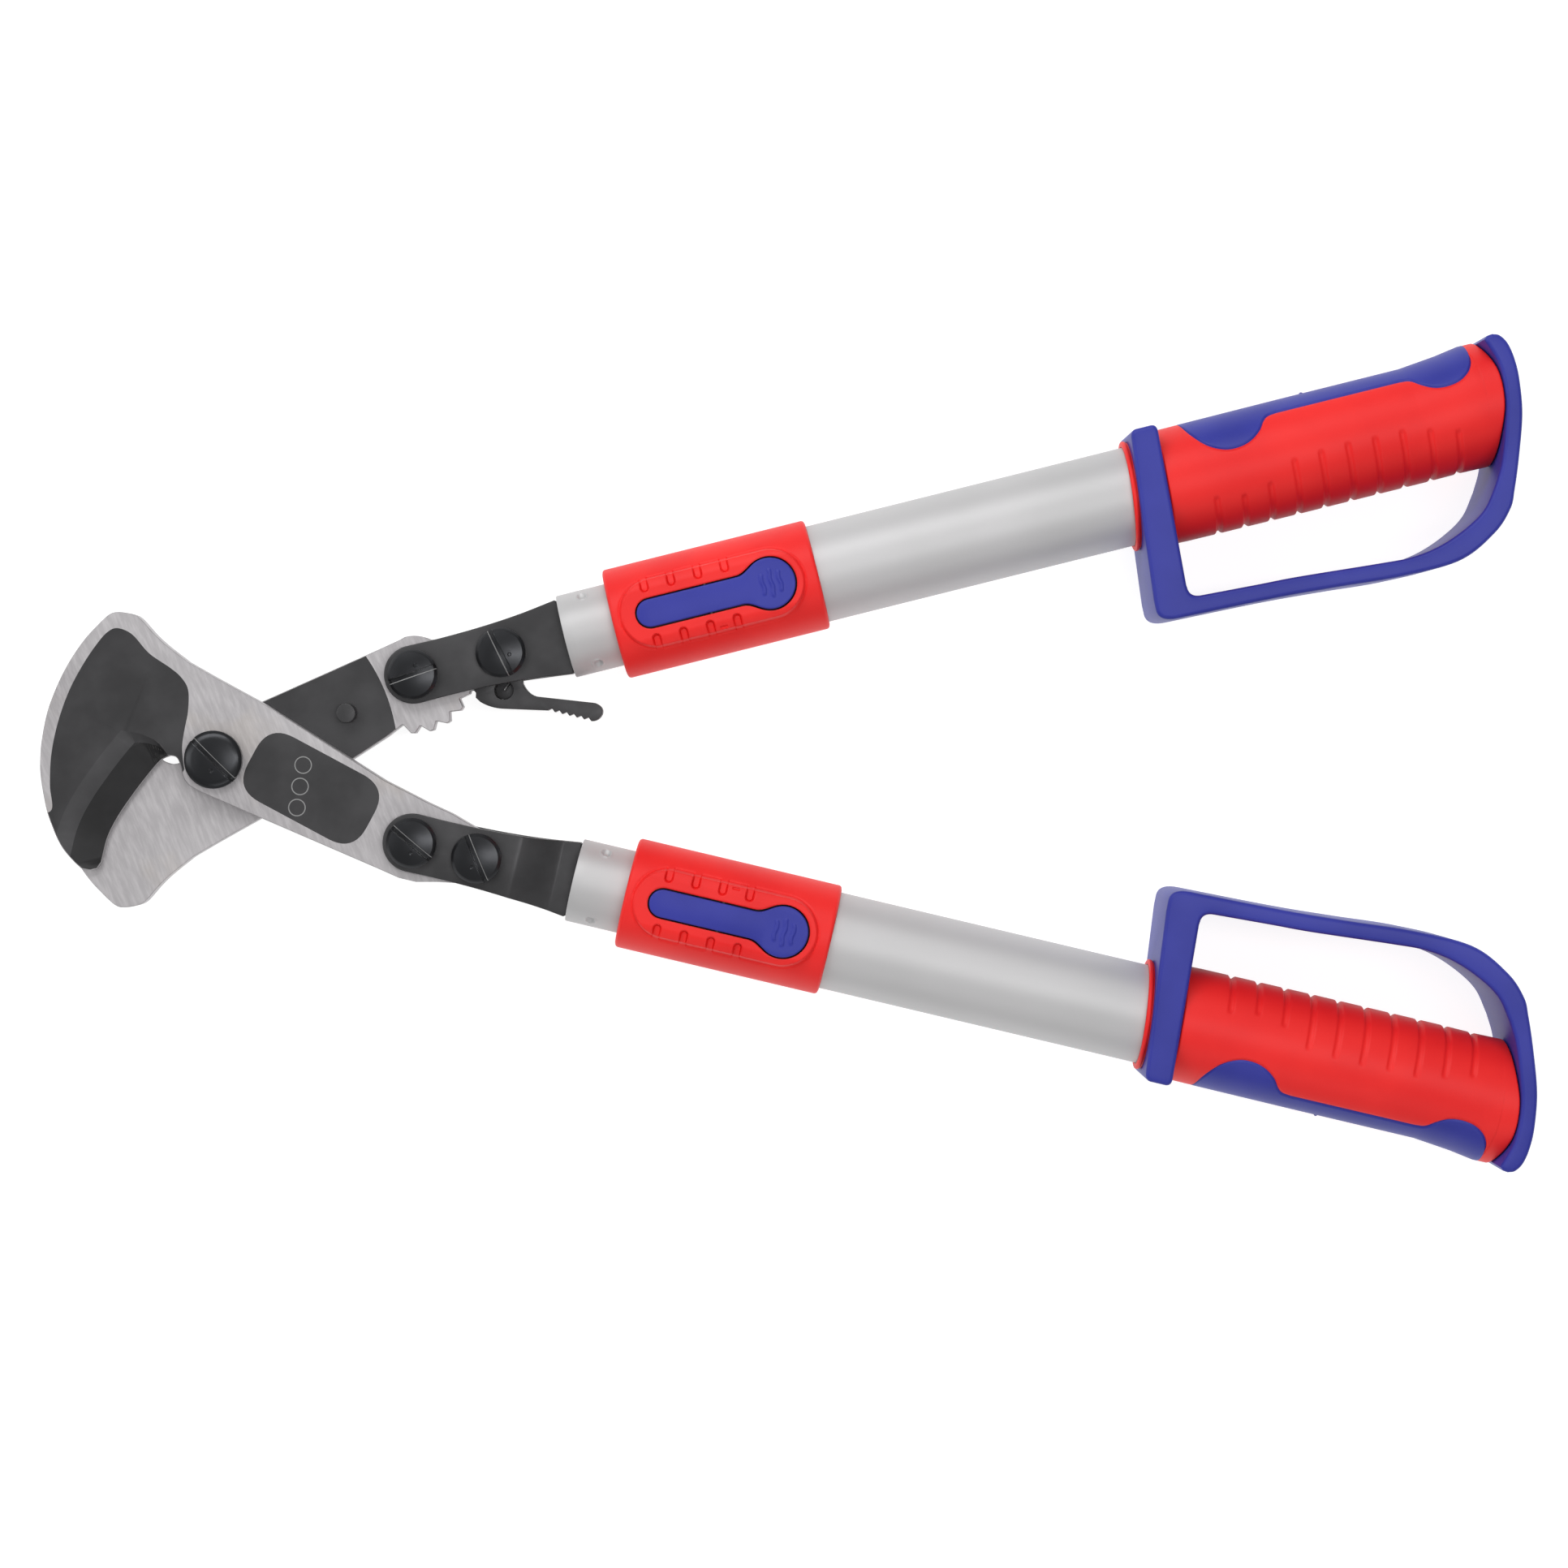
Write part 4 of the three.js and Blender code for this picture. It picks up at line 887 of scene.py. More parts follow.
def plate_plan(mouth):
    side = [(0, PLATE_END), (mouth * 0.22, PLATE_END - 0.15), (mouth * 0.48, PLATE_END + 0.25),
            (mouth * 0.74, PLATE_END + 1.35), (mouth - 0.6, MOUTH_HALF - 0.15)]
    upper = spline(side, 30) + [(mouth, MOUTH_HALF - 0.6)]
    end = mouth + TANG_LENGTH
    upper += [(mouth, TANG_HALF), (end - 1.5, TANG_HALF), (end, TANG_HALF - 1.5)]
    lower = [(u, -v) for u, v in reversed(upper)]
    return arc(0, 0, PLATE_END, 270, 90, 40)[:-1] + upper + lower[:-1]


def plate_sheet(mouth, bolts, bend=None):
    """Lines across the plate let it bend smoothly between two levels."""
    lines = []
    if bend:
        across = [bend[0] - 2 + (bend[1] - bend[0] + 4) * i / 26 for i in range(27)]
        lines = [[(u, -20), (u, 20)] for u in across]
    holes = [ring(u, 0, BOLT_HOLE) for u in bolts] + [ring(mouth + TANG_LENGTH * 0.6, 0, 3.3)]
    return Sheet(plate_plan(mouth), holes, [], lines, STRAP_EDGE)


def bent(bend, near, far, lift):
    """A face that passes smoothly from one height to another over the bend."""
    def level(x, y):
        t = min(1, max(0, (x - bend[0]) / (bend[1] - bend[0])))
        t = 0.8 * t + 0.2 * rise(t, 0, 1) if 0 < t < 1 else t
        return near + (far - near) * t + lift
    return level


def strap(prefix, side, bolts, low, bend=None, far=None):
    """One of a handle's two plates; past a bend it lies at another height."""
    node = prefix + "_" + side + "_plate"
    mouth = span(prefix, prefix + "_front_plate")[1] - TANG_LENGTH
    top, bottom = [bent(bend, low, far, lift) if bend else None for lift in (STRAP_THICK, 0)]
    plate(prefix + "_" + side + "_strap", plate_sheet(mouth, bolts, bend), low, low + STRAP_THICK, STRAP_EDGE,
          HANDLES[prefix], [COAT], ROOTS[prefix], "black_steel", [node], top=top, bottom=bottom)


second = offset_on("fixed", "fixed_bolt_2")
pawl_u = offset_on("ratchet", "pawl_bolt")
strap("fixed", "front", [0, second], OUTER_LOW, (39.0, 54.0), TANG_LOW)
strap("fixed", "back", [0, second], -TANG_TOP)
strap("ratchet", "front", [0, pawl_u], TANG_LOW)
strap("ratchet", "back", [0, pawl_u], -OUTER_TOP, (46.0, 57.0), -TANG_TOP)

# ---------------------------------------------------------------- pawl

HUB = 10.6


def quadratic(a, b, c, count=8):
    return [tuple((1 - t) ** 2 * Vector(a) + 2 * t * (1 - t) * Vector(b) + t * t * Vector(c))
            for t in [i / count for i in range(1, count + 1)]]


def pawl_outline():
    def at(x, y):
        return (pawl_u + x, y)

    points = arc(pawl_u, 0, HUB, 190, 420, 60)
    points += [at(4.7, 12.9)] + quadratic(at(4.7, 12.9), at(5.5, 17.3), at(8.7, 18.9))
    points += [at(29, 26.4)] + quadratic(at(29, 26.4), at(32.2, 28.6), at(30.6, 31.2))
    points += quadratic(at(30.6, 31.2), at(28.8, 33.4), at(26.1, 32.7))
    first, last = Vector(at(26.1, 32.7)), Vector(at(11.3, 24.9))
    for i in range(6):
        step = (last - first) / 6
        notch = first + step * (i + 0.5)
        tooth = first + step * (i + 1)
        points += [(notch.x + 0.5, notch.y - 1), (tooth.x + 0.35, tooth.y - 0.1), (tooth.x, tooth.y)]
    points += quadratic(at(11.3, 24.9), at(-0.8, 21.4), at(-5.5, 20), 14)
    points += quadratic(at(-5.5, 20), at(-9.4, 18.6), at(-12.2, 15.8), 10)
    for lift, angle in ((2.6, 34.5), (2.1, 30.4), (0.6, 27.9), (2.2, 17)):
        points.append(turned_about(21.8 + lift, 0, angle))
    return points


spring_hole = (pawl_u - 2.6, 13.7)
pawl_sheet = Sheet(pawl_outline(), [ring(pawl_u, 0, 7.0), ring(*spring_hole, 3.5, 32)], inset=0.3)
plate("pawl_lever_body", pawl_sheet, -BLADE_TOP, -BLADE_LOW, 0.3, HANDLES["ratchet"], [COAT], "pawl_lever",
      "black_steel", ["pawl"])
plate("pawl_hole_floor", Sheet(ring(*spring_hole, 3.45, 40), inset=0.1), -BLADE_TOP + 0.3, -5.2, 0.1,
      HANDLES["ratchet"], [COAT], "pawl_lever", "black_steel", [])
plate("pawl_bush_ring", Sheet(ring(pawl_u, 0, 6.7, 60), [ring(pawl_u, 0, BOLT_HOLE, 48)], inset=0.2), -BLADE_TOP,
      -BLADE_LOW, 0.2, HANDLES["ratchet"], [STEEL], "ratchet_handle", "bright_steel", ["pawl_bush"])


def refinish(node, finish):
    """Gives one of the finishes to a CAD node that is shown as it stands."""
    mesh = frame["nodes"][node].data
    mesh.materials.clear()
    mesh.materials.append(finish)
    return mesh


refinish("pawl_spring", WIRE)

# ---------------------------------------------------------------- tubes

OUTER_R, OUTER_WALL = 18.2, 1.7
INNER_BORE, OUTER_BORE = INNER_R - INNER_WALL, OUTER_R - OUTER_WALL
BAR_HALF, PAD_R, BAR_AT, PAD_AT = 5.1, 9.4, 14.4, 59.4
LOCK_PITCH = 200 / 3
DIMPLE_AT = 9.5
BAND_INSET = 4


def samples(start, end, step):
    count = max(1, round((end - start) / step))
    return [start + (end - start) * i / count for i in range(count + 1)]


def dimpled(front):
    """Crimp dimples punched into the tube over the plug."""
    def shape(radius, u, angle):
        along = u - front - DIMPLE_AT
        if radius < INNER_R - 0.4 or abs(along) > 2.9:
            return radius
        for spot in (-55, 55, 125, 235):
            turn = math.degrees(angle) - 90 - spot
            turn = (turn + 180) % 360 - 180
            away = math.hypot(along, math.radians(turn) * INNER_R)
            if away < 2.6:
                lip = 0.22 * rise(away, 1.6, 2.1) * (1 - rise(away, 2.1, 2.6))
                radius -= 1.0 * (1 - rise(away, 0.7, 2.0)) - lip
        return radius
    return shape


def drilled(piece, place, u, radius):
    """Cuts a round hole into a tube, straight down through its upper wall."""
    x, y, _ = place(u, 0, 0)
    loop = ring(x, y, radius * MM, 32)
    carve(piece, [[(a, b, shear_plane + z) for a, b in loop] for z in (0.005, 0.02)])


def leaf_spring(prefix, place):
    """The bowed strip under the lever's pad: its feet stay on the tube and its crown goes with the pad."""
    node = prefix + "_lever_spring"
    low, high = levels(node)
    middle, half_length, half_width, thick = offset_on(prefix, node), 7, 2.5, 0.35
    arch = spline([(-half_length, low), (0, high - thick), (half_length, low)], 32)
    verts, faces = stack([[place(middle + u, side * half_width, z + lift)
                           for side, lift in ((-1, 0), (1, 0), (1, thick), (-1, thick))] for u, z in arch])
    piece = finish_piece(prefix + "_leaf_spring", verts, facing(faces, not place.mirrored), [WIRE], None,
                         "spring_steel", [node])
    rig.blend(piece, prefix + "_grip_end", prefix + "_release", place(middle, 0, low), place(middle, 0, high))


for prefix in ("fixed", "ratchet"):
    place = HANDLES[prefix]
    leaf_spring(prefix, place)
    front, end, _ = span(prefix, prefix + "_inner_tube")
    near = samples(front + 6.4, front + 12.6, 0.22)
    profile = ([(INNER_BORE + 0.3, front), (INNER_R - 0.35, front), (INNER_R - 0.1, front + 0.1),
                (INNER_R, front + 0.35), (INNER_R, front + 4)] + [(INNER_R, u) for u in near]
               + [(INNER_R, end - 0.3), (INNER_R - 0.3, end), (INNER_BORE, end), (INNER_BORE, front + 0.3)])
    inner = tube(prefix + "_inner_barrel", profile, place, TUBE, ROOTS[prefix], "aluminium",
                 [prefix + "_inner_tube"], sides=160, shape=dimpled(front))
    sleeve_front, sleeve_end, _ = span(prefix, prefix + "_lock_sleeve")
    for i in range(4):
        drilled(inner, place, sleeve_front + BAR_AT + i * LOCK_PITCH, 3.0)

    front, end, _ = span(prefix, prefix + "_outer_tube")
    band_start, band_end = sleeve_front + BAND_INSET, sleeve_end - BAND_INSET
    profile = [(OUTER_BORE + 0.2, front), (OUTER_R - 0.3, front), (OUTER_R, front + 0.3),
               (OUTER_R, band_start), (OUTER_R, band_end), (OUTER_R, end - 0.3),
               (OUTER_R - 0.3, end), (OUTER_BORE + 0.2, end), (OUTER_BORE, end - 0.3), (OUTER_BORE, front + 0.3)]
    outer = tube(prefix + "_outer_barrel", profile, place, TUBE, prefix + "_grip_end", "aluminium",
                 [prefix + "_outer_tube"], sides=144)
    drilled(outer, place, sleeve_front + BAR_AT, 2.8)
    # a band of the tube under the sleeve is made black as painted shade, so the lever's gap shows dark
    outer.data.materials.append(BLACK_AND_GAP_SHADE)
    for face in outer.data.polygons:
        if band_start < along_handle(prefix, face.center) < band_end:
            face.material_index = 1
    for node, finish in ((prefix + "_tube_plug", TUBE), (prefix + "_plug_rivet", STEEL),
                         (prefix + "_guide_bush", BLACK_AND_GAP_SHADE), (prefix + "_lever_pin", BOLT),
                         (prefix + "_lock_pin", WIRE)):
        mesh = refinish(node, finish)
        mesh.shade_smooth()
        mesh.set_sharp_from_angle(angle=math.radians(35))

# ---------------------------------------------------------------- lock sleeve and lever

SLEEVE_R, SLEEVE_LENGTH = 20.65, 77.4
FIELD_TOP, FIELD_HALF = 21.3, 12.9
FIELD_START, FIELD_END = 3.2, 72.2
LEVER_TOP, LEVER_THICK, LEVER_GAP = 22.0, 2.0, 0.6
NOTCHES = [BAR_AT + i * 10.1 for i in range(4)]
NOTCH_HALF, NOTCH_FOOT = 1.4, 9.4
SLIT_AT = (39.3, 11.4)
END_ROUND = 1.4


def oblong_distance(s, v, start, end, half):
    """How far a point is outside an oblong with round ends; negative inside."""
    middle = min(max(s, start + half), end - half)
    return math.hypot(s - middle, v) - half


def keyhole_distance(s, v):
    bar = oblong_distance(s, v, BAR_AT - BAR_HALF, PAD_AT, BAR_HALF)
    pad = math.hypot(s - PAD_AT, v) - PAD_R
    blend = 3.2
    h = max(blend - abs(bar - pad), 0) / blend
    return min(bar, pad) - h * h * blend / 4


def sleeve_height(s, v):
    """Height of the sleeve's top over its axis, for a place along and across it."""
    round_z = math.sqrt(max(0.0, SLEEVE_R ** 2 - v * v))
    field = oblong_distance(s, v, FIELD_START, FIELD_END, FIELD_HALF)
    flat = FIELD_TOP - 0.0016 * v * v - 2.2 * rise(abs(v), 8.5, 15.5)
    cut = wall = 0.0
    for at in NOTCHES:
        if abs(s - at) < 3:
            from_wall = math.hypot(s - at, min(0.0, abs(v) - NOTCH_FOOT)) - NOTCH_HALF
            cut = 1 - rise(from_wall, -0.16, 0.16)
            wall = 1 - rise(abs(from_wall), 0.05, 0.42)
    slit = (1 - rise(abs(s - SLIT_AT[0]), 1.1, 1.5)) * (1 - rise(abs(v - SLIT_AT[1]), 0.2, 0.55))
    share = 1 - rise(field, -0.7, 0.2)
    shown = round_z + max(-0.25 * cut, flat - round_z - 1.5 * cut) * share
    groove = 0.32 * (1 - rise(abs(field - 0.4), 0.0, 0.6)) * (1 - cut)
    groove += 0.5 * wall * (1 - rise(field, 0.1, 0.6))
    lip = rise(keyhole_distance(s, v), LEVER_GAP - 0.05, LEVER_GAP + 0.45)
    return shown - groove - 0.6 * slit - 0.25 * (1 - lip)


def rounded_off(from_end, radius):
    """How much lower a skin lies this near to its rounded end."""
    if from_end > radius:
        return 0.0
    return radius - math.sqrt(max(0.0, radius ** 2 - (radius - max(0.0, from_end)) ** 2))


def keyhole_loop(grow, count=150):
    """The keyhole's outline, found by marching out from its spine."""
    loop = []
    for i in range(count):
        angle = 2 * math.pi * i / count
        c, s = math.cos(angle), math.sin(angle)
        spine = BAR_AT + (PAD_AT - BAR_AT) * (0.5 + 0.5 * c)
        low, high = 0.0, 40.0
        for _ in range(30):
            mid = (low + high) / 2
            if keyhole_distance(spine + mid * c * 0.55, mid * s) < grow:
                low = mid
            else:
                high = mid
        loop.append((spine + low * c * 0.55, low * s))
    return loop


def sleeve(prefix):
    """The sleeve's shell: rings along it, with its top pushed up into the flat field."""
    start, _, _ = span(prefix, prefix + "_lock_sleeve")
    place = HANDLES[prefix].moved(start)
    across = sorted({round(v, 3) for v in samples(-13.9, 13.9, 0.2)})
    lengths = samples(0, 12.2, 0.3) + samples(12.2, 46.4, 0.16)[1:] + samples(46.4, SLEEVE_LENGTH, 0.3)[1:]
    top_angles = [math.acos(max(-1, min(1, v / SLEEVE_R))) for v in reversed(across)]
    rest = samples(top_angles[-1], top_angles[0] + 2 * math.pi, math.radians(2.6))[1:-1]
    rows = []
    for s in lengths:
        shrink = rounded_off(min(s, SLEEVE_LENGTH - s), END_ROUND)
        row = []
        for angle in top_angles:
            v = SLEEVE_R * math.cos(angle)
            row.append((s, v * (1 - shrink / SLEEVE_R), sleeve_height(s, v) - shrink))
        for angle in rest:
            r = SLEEVE_R - shrink
            row.append((s, r * math.cos(angle), r * math.sin(angle)))
        rows.append(row)
    angles = [math.atan2(z, v) for _, v, z in rows[len(rows) // 2]]
    inner_long, inner_ring = OUTER_R + 0.3, INNER_R + 0.3
    for s, radius in ((SLEEVE_LENGTH, inner_long + 0.4), (SLEEVE_LENGTH - 0.4, inner_long), (5.7, inner_long),
                      (5.7, inner_ring), (0.4, inner_ring), (0, inner_ring + 0.4)):
        rows.append([(s, radius * math.cos(a), radius * math.sin(a)) for a in angles])
    shell = net(prefix + "_red_sleeve", rows, place, RED, prefix + "_grip_end", "red_plastic",
                [prefix + "_lock_sleeve"], smooth=50)
    opening = keyhole_loop(LEVER_GAP)
    carve(shell, [[place(s, v, z) for s, v in opening] for z in (10, 30)], place.mirrored)
    return place


def thumb_ribs(s, v):
    """Three slightly wavy ribs across the lever's round pad."""
    height = 0.0
    for at, half in ((-2.6, 3.9), (0.6, 5.2), (3.8, 3.9)):
        wave = 0.22 * math.sin(v * 1.1)
        ends = 1 - rise(abs(v), half - 0.8, half + 0.4)
        height = max(height, 0.42 * (1 - rise(abs(s - PAD_AT - at - wave), 0.25, 0.85)) * ends)
    return height


def lever(prefix, place):
    """The blue keyhole lever with rolled edges, and its lug down into the sleeve."""
    edge = 0.55
    outline = keyhole_loop(0, 220)
    grid = [[(s, -7), (s, 7)] for s in samples(PAD_AT - 6, PAD_AT + 8, 0.3)]
    grid += [[(PAD_AT - 6, v), (PAD_AT + 8, v)] for v in samples(-7, 7, 0.35)]
    sheet = Sheet(outline, [], [], grid, edge)
    plate(prefix + "_blue_lever", sheet, LEVER_TOP - LEVER_THICK, LEVER_TOP, edge, place, [BLUE],
          prefix + "_release", "blue_plastic", [prefix + "_lock_lever"],
          top=lambda s, v: LEVER_TOP + thumb_ribs(s, v), smooth=50)
    lug = rounded([(33, -4.5), (39, -4.5), (39, 4.5), (33, 4.5)], 0.6, 3)
    plate(prefix + "_lever_lug", Sheet(lug, inset=0.2), OUTER_R + 0.35, LEVER_TOP - 1.2, 0.2, place, [BLUE],
          prefix + "_release", "blue_plastic", [])


for prefix in ("fixed", "ratchet"):
    lever(prefix, sleeve(prefix))

# ---------------------------------------------------------------- grip, inlay and guard
# drawn from the guard's front face: along the handle, and across it with the hand on the + side

BARE_TUBE = 120.8
GRIP_R = 21.4
NECK_R = 19.6
INLAY_R = 19.8
GUARD_HALF = 22.5
FIT = 0.3
GRIP_ROUND = 0.7
SLANT_SHARE = 0.10

GRIP_RINGS = [(5, 21.0, 21.2), (16, 21.4, 21.5), (60, 21.6, 21.7), (107, 21.6, 21.8), (121, 22.2, 22.0),
              (130, 23.0, 22.0), (147, 23.0, 22.0)]
GRIP_SHIFT = [(5, 0), (107, 0), (121, -0.8), (130, -1.4), (147, -1.4)]
END_WALL = [(127.4, 29.1), (131.6, 21.5), (135.8, 9.7), (138.5, -0.2), (139.2, -12.5), (136.2, -23.3),
            (135.0, -27)]
INLAY_EDGE = (spline([(21.8, -21.7), (24.0, -16.6), (28.6, -10.6), (34.2, -7.3), (39.4, -6.7), (44.4, -7.9),
                      (48.8, -10.9), (51.4, -14.2), (53.6, -15.8), (57, -16.3)], 70)
              + spline([(104, -16.2), (107.4, -15.6), (110.8, -12.9), (114.6, -10.7), (119.2, -10.0), (124.2, -10.8),
                        (128.2, -13.3), (130.7, -17.0), (131.6, -20.4), (131.9, -23.2)], 60))
GROOVES = [(27.6 + i * 10.17, length) for i, length in enumerate(
    (12.8, 11.2, 13.2, 19.3, 20.0, 20.5, 20.0, 20.0, 17.7, 15.1))]


def between(table, x, column=1):
    """Straight-line lookup in rows sorted by their first value."""
    if x <= table[0][0]:
        return table[0][column]
    for a, b in zip(table, table[1:]):
        if x <= b[0]:
            return a[column] + (b[column] - a[column]) * (x - a[0]) / max(1e-9, b[0] - a[0])
    return table[-1][column]


WALL_BY_Y = sorted((y, x) for x, y in spline(END_WALL, 60))


def grip_start(y):
    return 8.8 + (39.5 - y) / 60.7 * 3.4 + FIT


def grip_end_at(y):
    return between(WALL_BY_Y, y) - FIT


def inlay_angle(s):
    """Half the angle that the inlay takes up round the grip, from the side away from the hand."""
    if s <= INLAY_EDGE[0][0] or s >= INLAY_EDGE[-1][0]:
        return 0.0
    across = between(GRIP_RINGS, s)
    level = (between(INLAY_EDGE, s) - between(GRIP_SHIFT, s)) / across
    return math.acos(min(1.0, max(-1.0, -level)))


def grip_groove(s, y):
    deep = 0.0
    for at, length in GROOVES:
        away = abs(s - at)
        if away < 2.4:
            start = GRIP_R - length
            depth = (1 - rise(away, 0.25, 1.55)) * rise(y, start - 0.4, start + 1.6)
            lip = (rise(away, 1.3, 1.8) * (1 - rise(away, 1.8, 2.4))) * rise(y, start, start + 4)
            deep = max(deep, 0.55 * depth + 0.55 * depth * rise(y, 14, 21) - 0.10 * lip)
    return deep


def grip_ring(s, theta, drop):
    """A point on the grip's skin; theta runs from the side away from the hand."""
    across, deep = between(GRIP_RINGS, s), between(GRIP_RINGS, s, 2)
    y = between(GRIP_SHIFT, s) - (across - drop) * math.cos(theta)
    return y, (deep - drop) * math.sin(theta)


def grip_skin(prefix, place):
    rows = []
    pocket_cols, red_cols = 30, 130
    for t in samples(0, 1, 1 / 420):
        row = []
        middle = grip_start(0) + t * (grip_end_at(0) - grip_start(0))
        edge = inlay_angle(middle)
        shown = 1.0 if edge > 0.06 else 0.0
        edge = max(edge, 0.06)
        thetas = [(edge * (2 * i / pocket_cols - 1), True) for i in range(pocket_cols + 1)]
        span_red = 2 * math.pi - 2 * edge
        for i in range(1, red_cols):
            k = i / red_cols
            k = k - 0.10 * math.sin(2 * math.pi * k) / (2 * math.pi) * 2
            thetas.append((edge + span_red * k, False))
        for theta, in_pocket in thetas:
            y0, _ = grip_ring(middle, theta, 0)
            first, last = grip_start(y0), grip_end_at(y0)
            # features keep their true place along the grip, whatever the slant of its ends
            slanted = first + t * (last - first)
            s = slanted + (middle - slanted) * rise(min(t, 1 - t), 0, SLANT_SHARE)
            drop = grip_groove(s, y0)
            if in_pocket:
                near = 0.0 if abs(abs(theta) - edge) < 1e-6 else 1.0
                drop = (0.95 * near + 0.40 * (1 - near)) * shown
            elif shown:
                away = (min(theta, 2 * math.pi - theta) - edge) * GRIP_R
                drop += 0.40 * (1 - rise(away, 0.0, 0.75))
            drop += rounded_off(min(s - first, last - s), GRIP_ROUND)
            y, z = grip_ring(s, theta, drop)
            row.append((s, y, z))
        rows.append(row)
    angles = [math.atan2(z, y) for _, y, z in rows[len(rows) // 2]]
    bore = OUTER_R + FIT
    for end in (grip_end_at, grip_start):
        rows.append([(end(bore * math.cos(a)), bore * math.cos(a), bore * math.sin(a)) for a in angles])
    net(prefix + "_red_grip", rows, place, RED, prefix + "_grip_end", "red_plastic", [prefix + "_grip"], smooth=55)


def grip_inlay(prefix, place):
    rows, cols = [], 56
    first, last = INLAY_EDGE[0][0] + 0.35, INLAY_EDGE[-1][0] - 0.35
    stations = sorted(set(samples(first, first + 8, 0.12) + samples(first + 8, last - 8, 0.5)
                          + samples(last - 8, last, 0.12)))
    for s in stations:
        edge = max(0.012, inlay_angle(s) - 0.22 / GRIP_R)
        row = []
        for i in range(cols + 1):
            k = i / cols * 2 - 1
            theta = edge * math.sin(k * math.pi / 2)
            slope = (inlay_angle(s + 0.4) - inlay_angle(s - 0.4)) / 0.8 * GRIP_R
            away = (edge - abs(theta)) * GRIP_R / math.sqrt(1 + slope * slope)
            roll = 0.55 * (1 - rise(away, 0.0, 0.9)) ** 1.5
            nub = 0.5 * (1 - rise(math.hypot(s - 69.8, theta * GRIP_R), 0.2, 0.9))
            y, z = grip_ring(s, theta, roll - 0.05 - nub)
            row.append((s, y, z))
        for i in range(cols, -1, -1):
            theta = edge * math.sin((i / cols * 2 - 1) * math.pi / 2)
            y, z = grip_ring(s, theta, between(GRIP_RINGS, s) - INLAY_R - 0.6)
            row.append((s, y, z))
        rows.append(row)
    verts, faces = stack(rows)
    finish_piece(prefix + "_blue_inlay", [place(*v) for v in verts], facing(faces, not place.mirrored), [BLUE],
                 prefix + "_grip_end", "blue_plastic", [prefix + "_grip_inlay"], 50)


def grip_lip(prefix, place):
    """The red lip ahead of the guard's collar, and the neck that joins it to the grip."""
    lean = math.atan2(6.4, 61.2)
    profile = [(18.5, -0.85), (19.9, -0.85), (20.3, -0.6), (20.4, -0.1), (20.3, 0.5), (20.0, 0.8),
               (NECK_R, 0.85), (NECK_R, 13.5), (18.5, 13.5)]
    angles = [2 * math.pi * i / 128 for i in range(128)]
    rows = []
    for radius, u in profile:
        tilt = 1 - rise(u, 3, 12)
        rows.append([(-1.15 + u - radius * math.cos(a) * math.sin(lean) * tilt, radius * math.cos(a),
                      radius * math.sin(a)) for a in angles])
    net(prefix + "_grip_lip", rows, place, RED, prefix + "_grip_end", "red_plastic", [], smooth=50)


def guard_outline():
    outside = spline([(2.5, 48.6), (38.8, 50.0), (62, 51.6), (85.8, 53.5), (108, 53.0), (122.7, 46.4),
                      (130.5, 39.2), (133.8, 32.6), (138.3, 21.2), (143.2, 6.5), (145.2, -6), (145.3, -13.9),
                      (144.2, -20.0), (142.0, -23.5), (139.5, -24.6)], 120)
    wall = spline(END_WALL[:-1], 40)
    inside_strap = spline([(13.3, 42.4), (34.4, 43.6), (49.5, 44.4), (79.5, 46.9), (91.2, 47.5), (102.1, 46),
                           (112.6, 42.2), (121.2, 37), (127.4, 29.1)], 60)
    corner = quadratic((8.9, 38.6), (9.0, 42.2), (13.3, 42.4), 8)
    outer_corner = quadratic((-4.3, 43.4), (-4.6, 48.2), (2.5, 48.6), 10)
    collar_front = quadratic((4.6, -22.4), (2.5, -22.2), (2.2, -19.5), 6)
    collar_back = quadratic((12.4, -19.6), (12.5, -22.2), (10.4, -22.4), 6)
    return ([(4.6, -22.4)] + collar_front + [(-4.2, 40.0), (-4.3, 43.4)] + outer_corner + outside[1:]
            + [(137.6, -24.4)] + wall[::-1] + inside_strap[::-1][1:] + corner[::-1][1:]
            + [(8.8, 37.5), (12.4, -19.6)] + collar_back)


def guard(prefix, place):
    edge = 1.5
    sheet = Sheet(guard_outline(), inset=edge)
    piece = plate(prefix + "_blue_guard", sheet, -GUARD_HALF, GUARD_HALF, edge, place, [BLUE],
                  prefix + "_grip_end", "blue_plastic", [prefix + "_guard"], smooth=50, steps=5)
    neck = ring(0, 0, NECK_R + FIT, 128)
    carve(piece, [[place(s, v, z) for v, z in neck] for s in (-20, 30)], not place.mirrored)


for prefix in ("fixed", "ratchet"):
    _, sleeve_end, _ = span(prefix, prefix + "_lock_sleeve")
    place = HANDLES[prefix].moved(sleeve_end + BARE_TUBE)
    grip_skin(prefix, place)
    grip_inlay(prefix, place)
    grip_lip(prefix, place)
    guard(prefix, place)

# ---------------------------------------------------------------- floor, light and camera

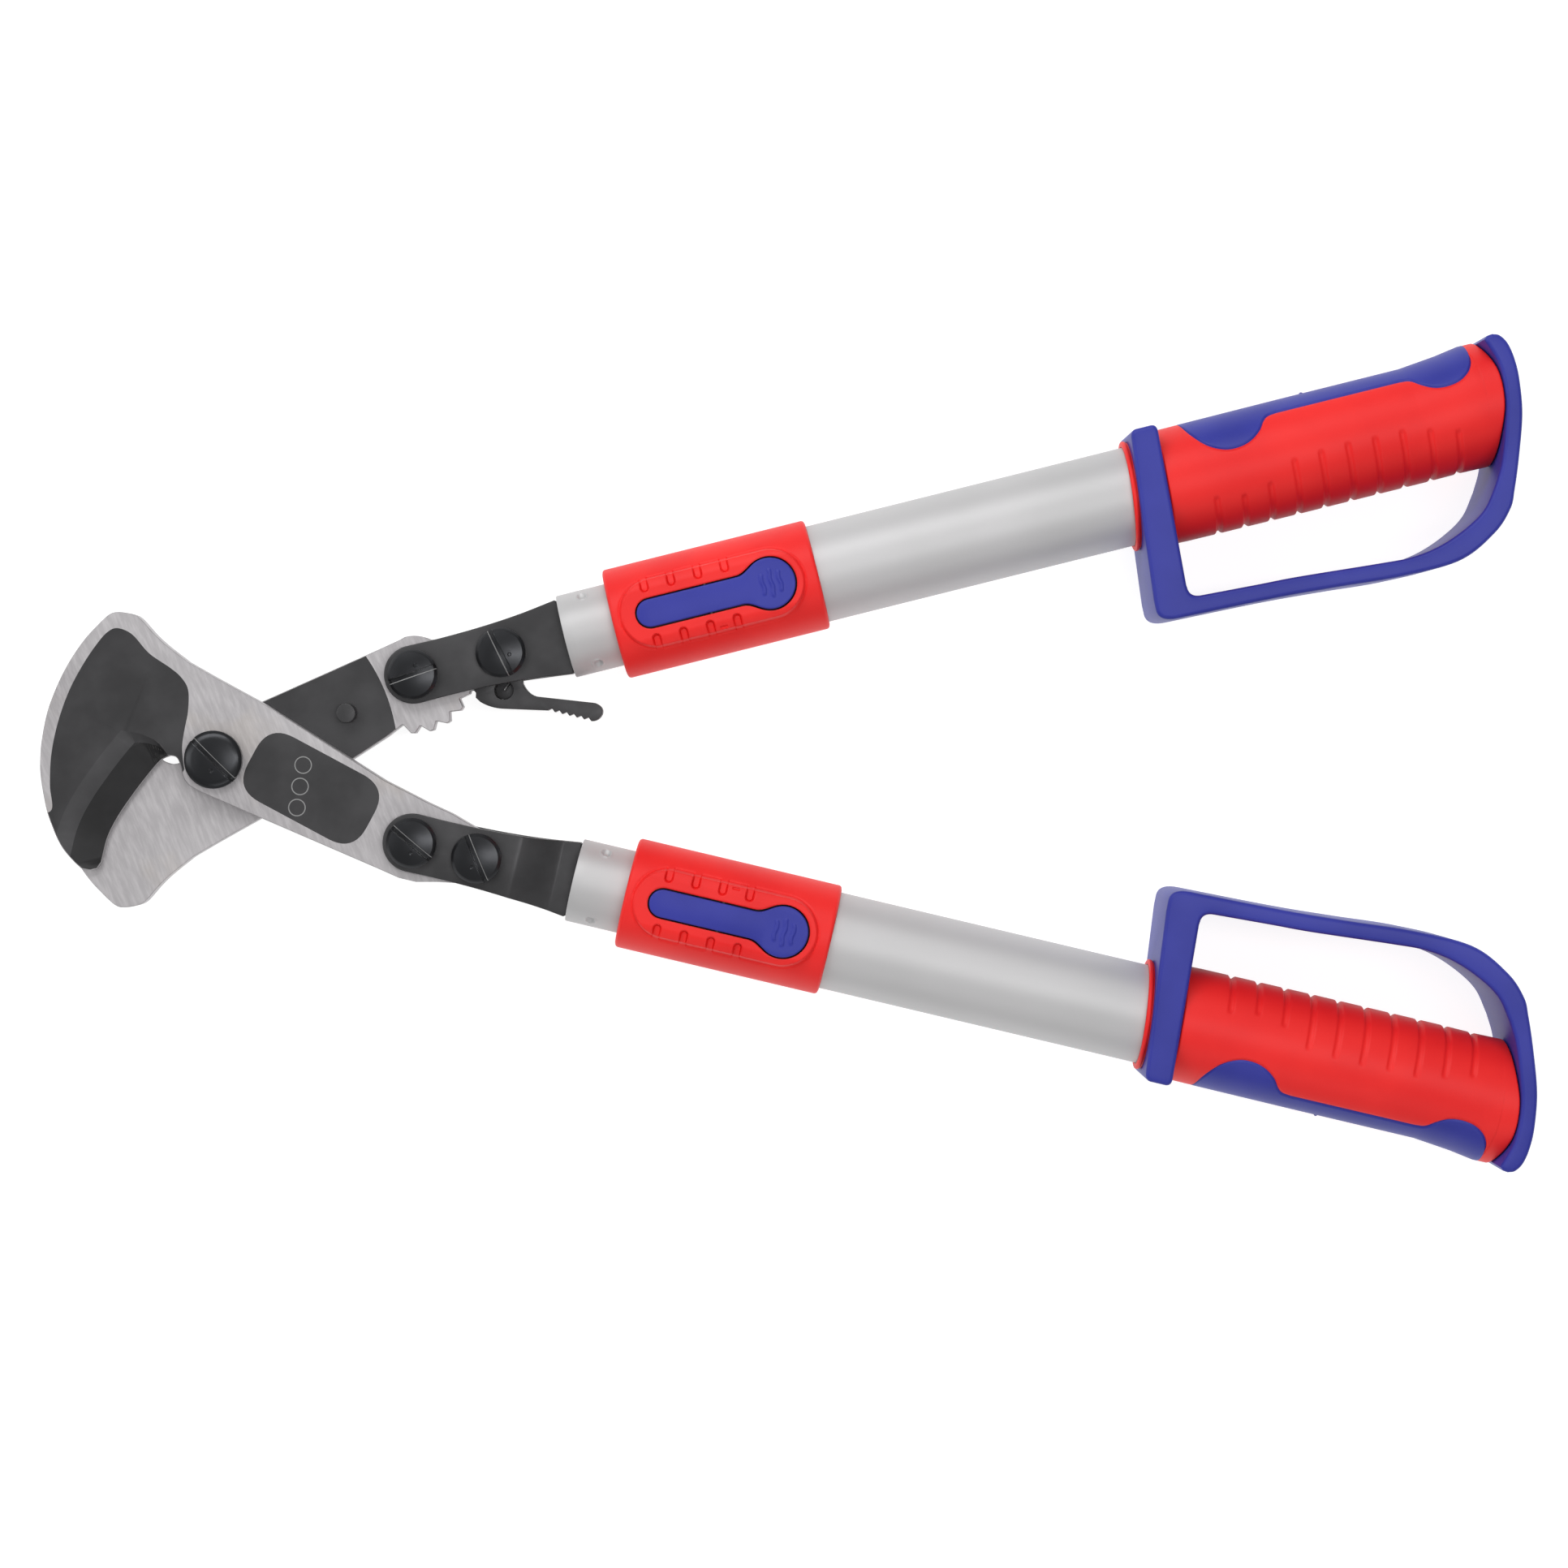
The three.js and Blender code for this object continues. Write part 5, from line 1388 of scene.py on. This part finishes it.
floor_mesh = bpy.data.meshes.new("floor")
FLOOR_HALF = 4.0
corners = [(x * FLOOR_HALF, y * FLOOR_HALF, 0) for x, y in ((-1, -1), (1, -1), (1, 1), (-1, 1))]
floor_mesh.from_pydata(corners, [], [(0, 1, 2, 3)])
floor = bpy.data.objects.new("floor", floor_mesh)
bpy.context.scene.collection.objects.link(floor)
paper = Finish("floor_paper", Roughness=0.9, Specular_IOR_Level=0.1, Emission_Strength=0.86)
paper.shader.inputs["Base Color"].default_value = rgb(0.34, 0.34, 0.34)
paper.shader.inputs["Emission Color"].default_value = rgb(1, 1, 1)
floor_mesh.materials.append(paper.material)
floor.location.z = -0.0002
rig.stage(floor)

world = bpy.data.worlds.new("studio")
bpy.context.scene.world = world
world.use_nodes = True
background = next(n for n in world.node_tree.nodes if n.type == "BACKGROUND")
background.inputs["Color"].default_value = rgb(1.0, 1.0, 1.0)
background.inputs["Strength"].default_value = 0.30


def softbox(name, at, size, power):
    """A rectangular light that faces the middle of the row frame."""
    light = bpy.data.lights.new(name, "AREA")
    light.shape, light.size, light.size_y, light.energy = "RECTANGLE", size[0], size[1], power
    lamp = bpy.data.objects.new(name, light)
    lamp.location = at
    lamp.rotation_euler = (-Vector(at)).to_track_quat("-Z", "Y").to_euler()
    bpy.context.scene.collection.objects.link(lamp)


softbox("key_softbox", (-0.35, 1.05, 1.15), (1.5, 0.6), 13)
softbox("fill_softbox", (0.2, -1.2, 1.0), (1.4, 0.6), 3.5)
softbox("side_softbox", (-1.3, 0.1, 0.9), (0.5, 1.2), 4.5)
softbox("sheen_strip", (0.46, 0.05, 1.60), (0.16, 1.2), 8)

camera_data = bpy.data.cameras.new("camera")
CAMERA_HEIGHT = 1.300
FRAME_WIDTH = 0.5829
SENSOR = 36
camera_data.sensor_width = SENSOR
camera_data.lens = SENSOR * CAMERA_HEIGHT / FRAME_WIDTH
camera_data.shift_y = -0.0238
camera = bpy.data.objects.new("camera", camera_data)
camera.location = (pivot.x + 0.2106, pivot.y + 0.0035, shear_plane + CAMERA_HEIGHT)
camera.rotation_euler = (0, 0, math.radians(-0.35))
bpy.context.scene.collection.objects.link(camera)
bpy.context.scene.camera = camera
bpy.context.scene.view_settings.view_transform = "Standard"

with open("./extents.json", "w") as out:
    json.dump({"cad": [list(c) for c in cad_box], "visual": [list(c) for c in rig.bounds()]}, out)
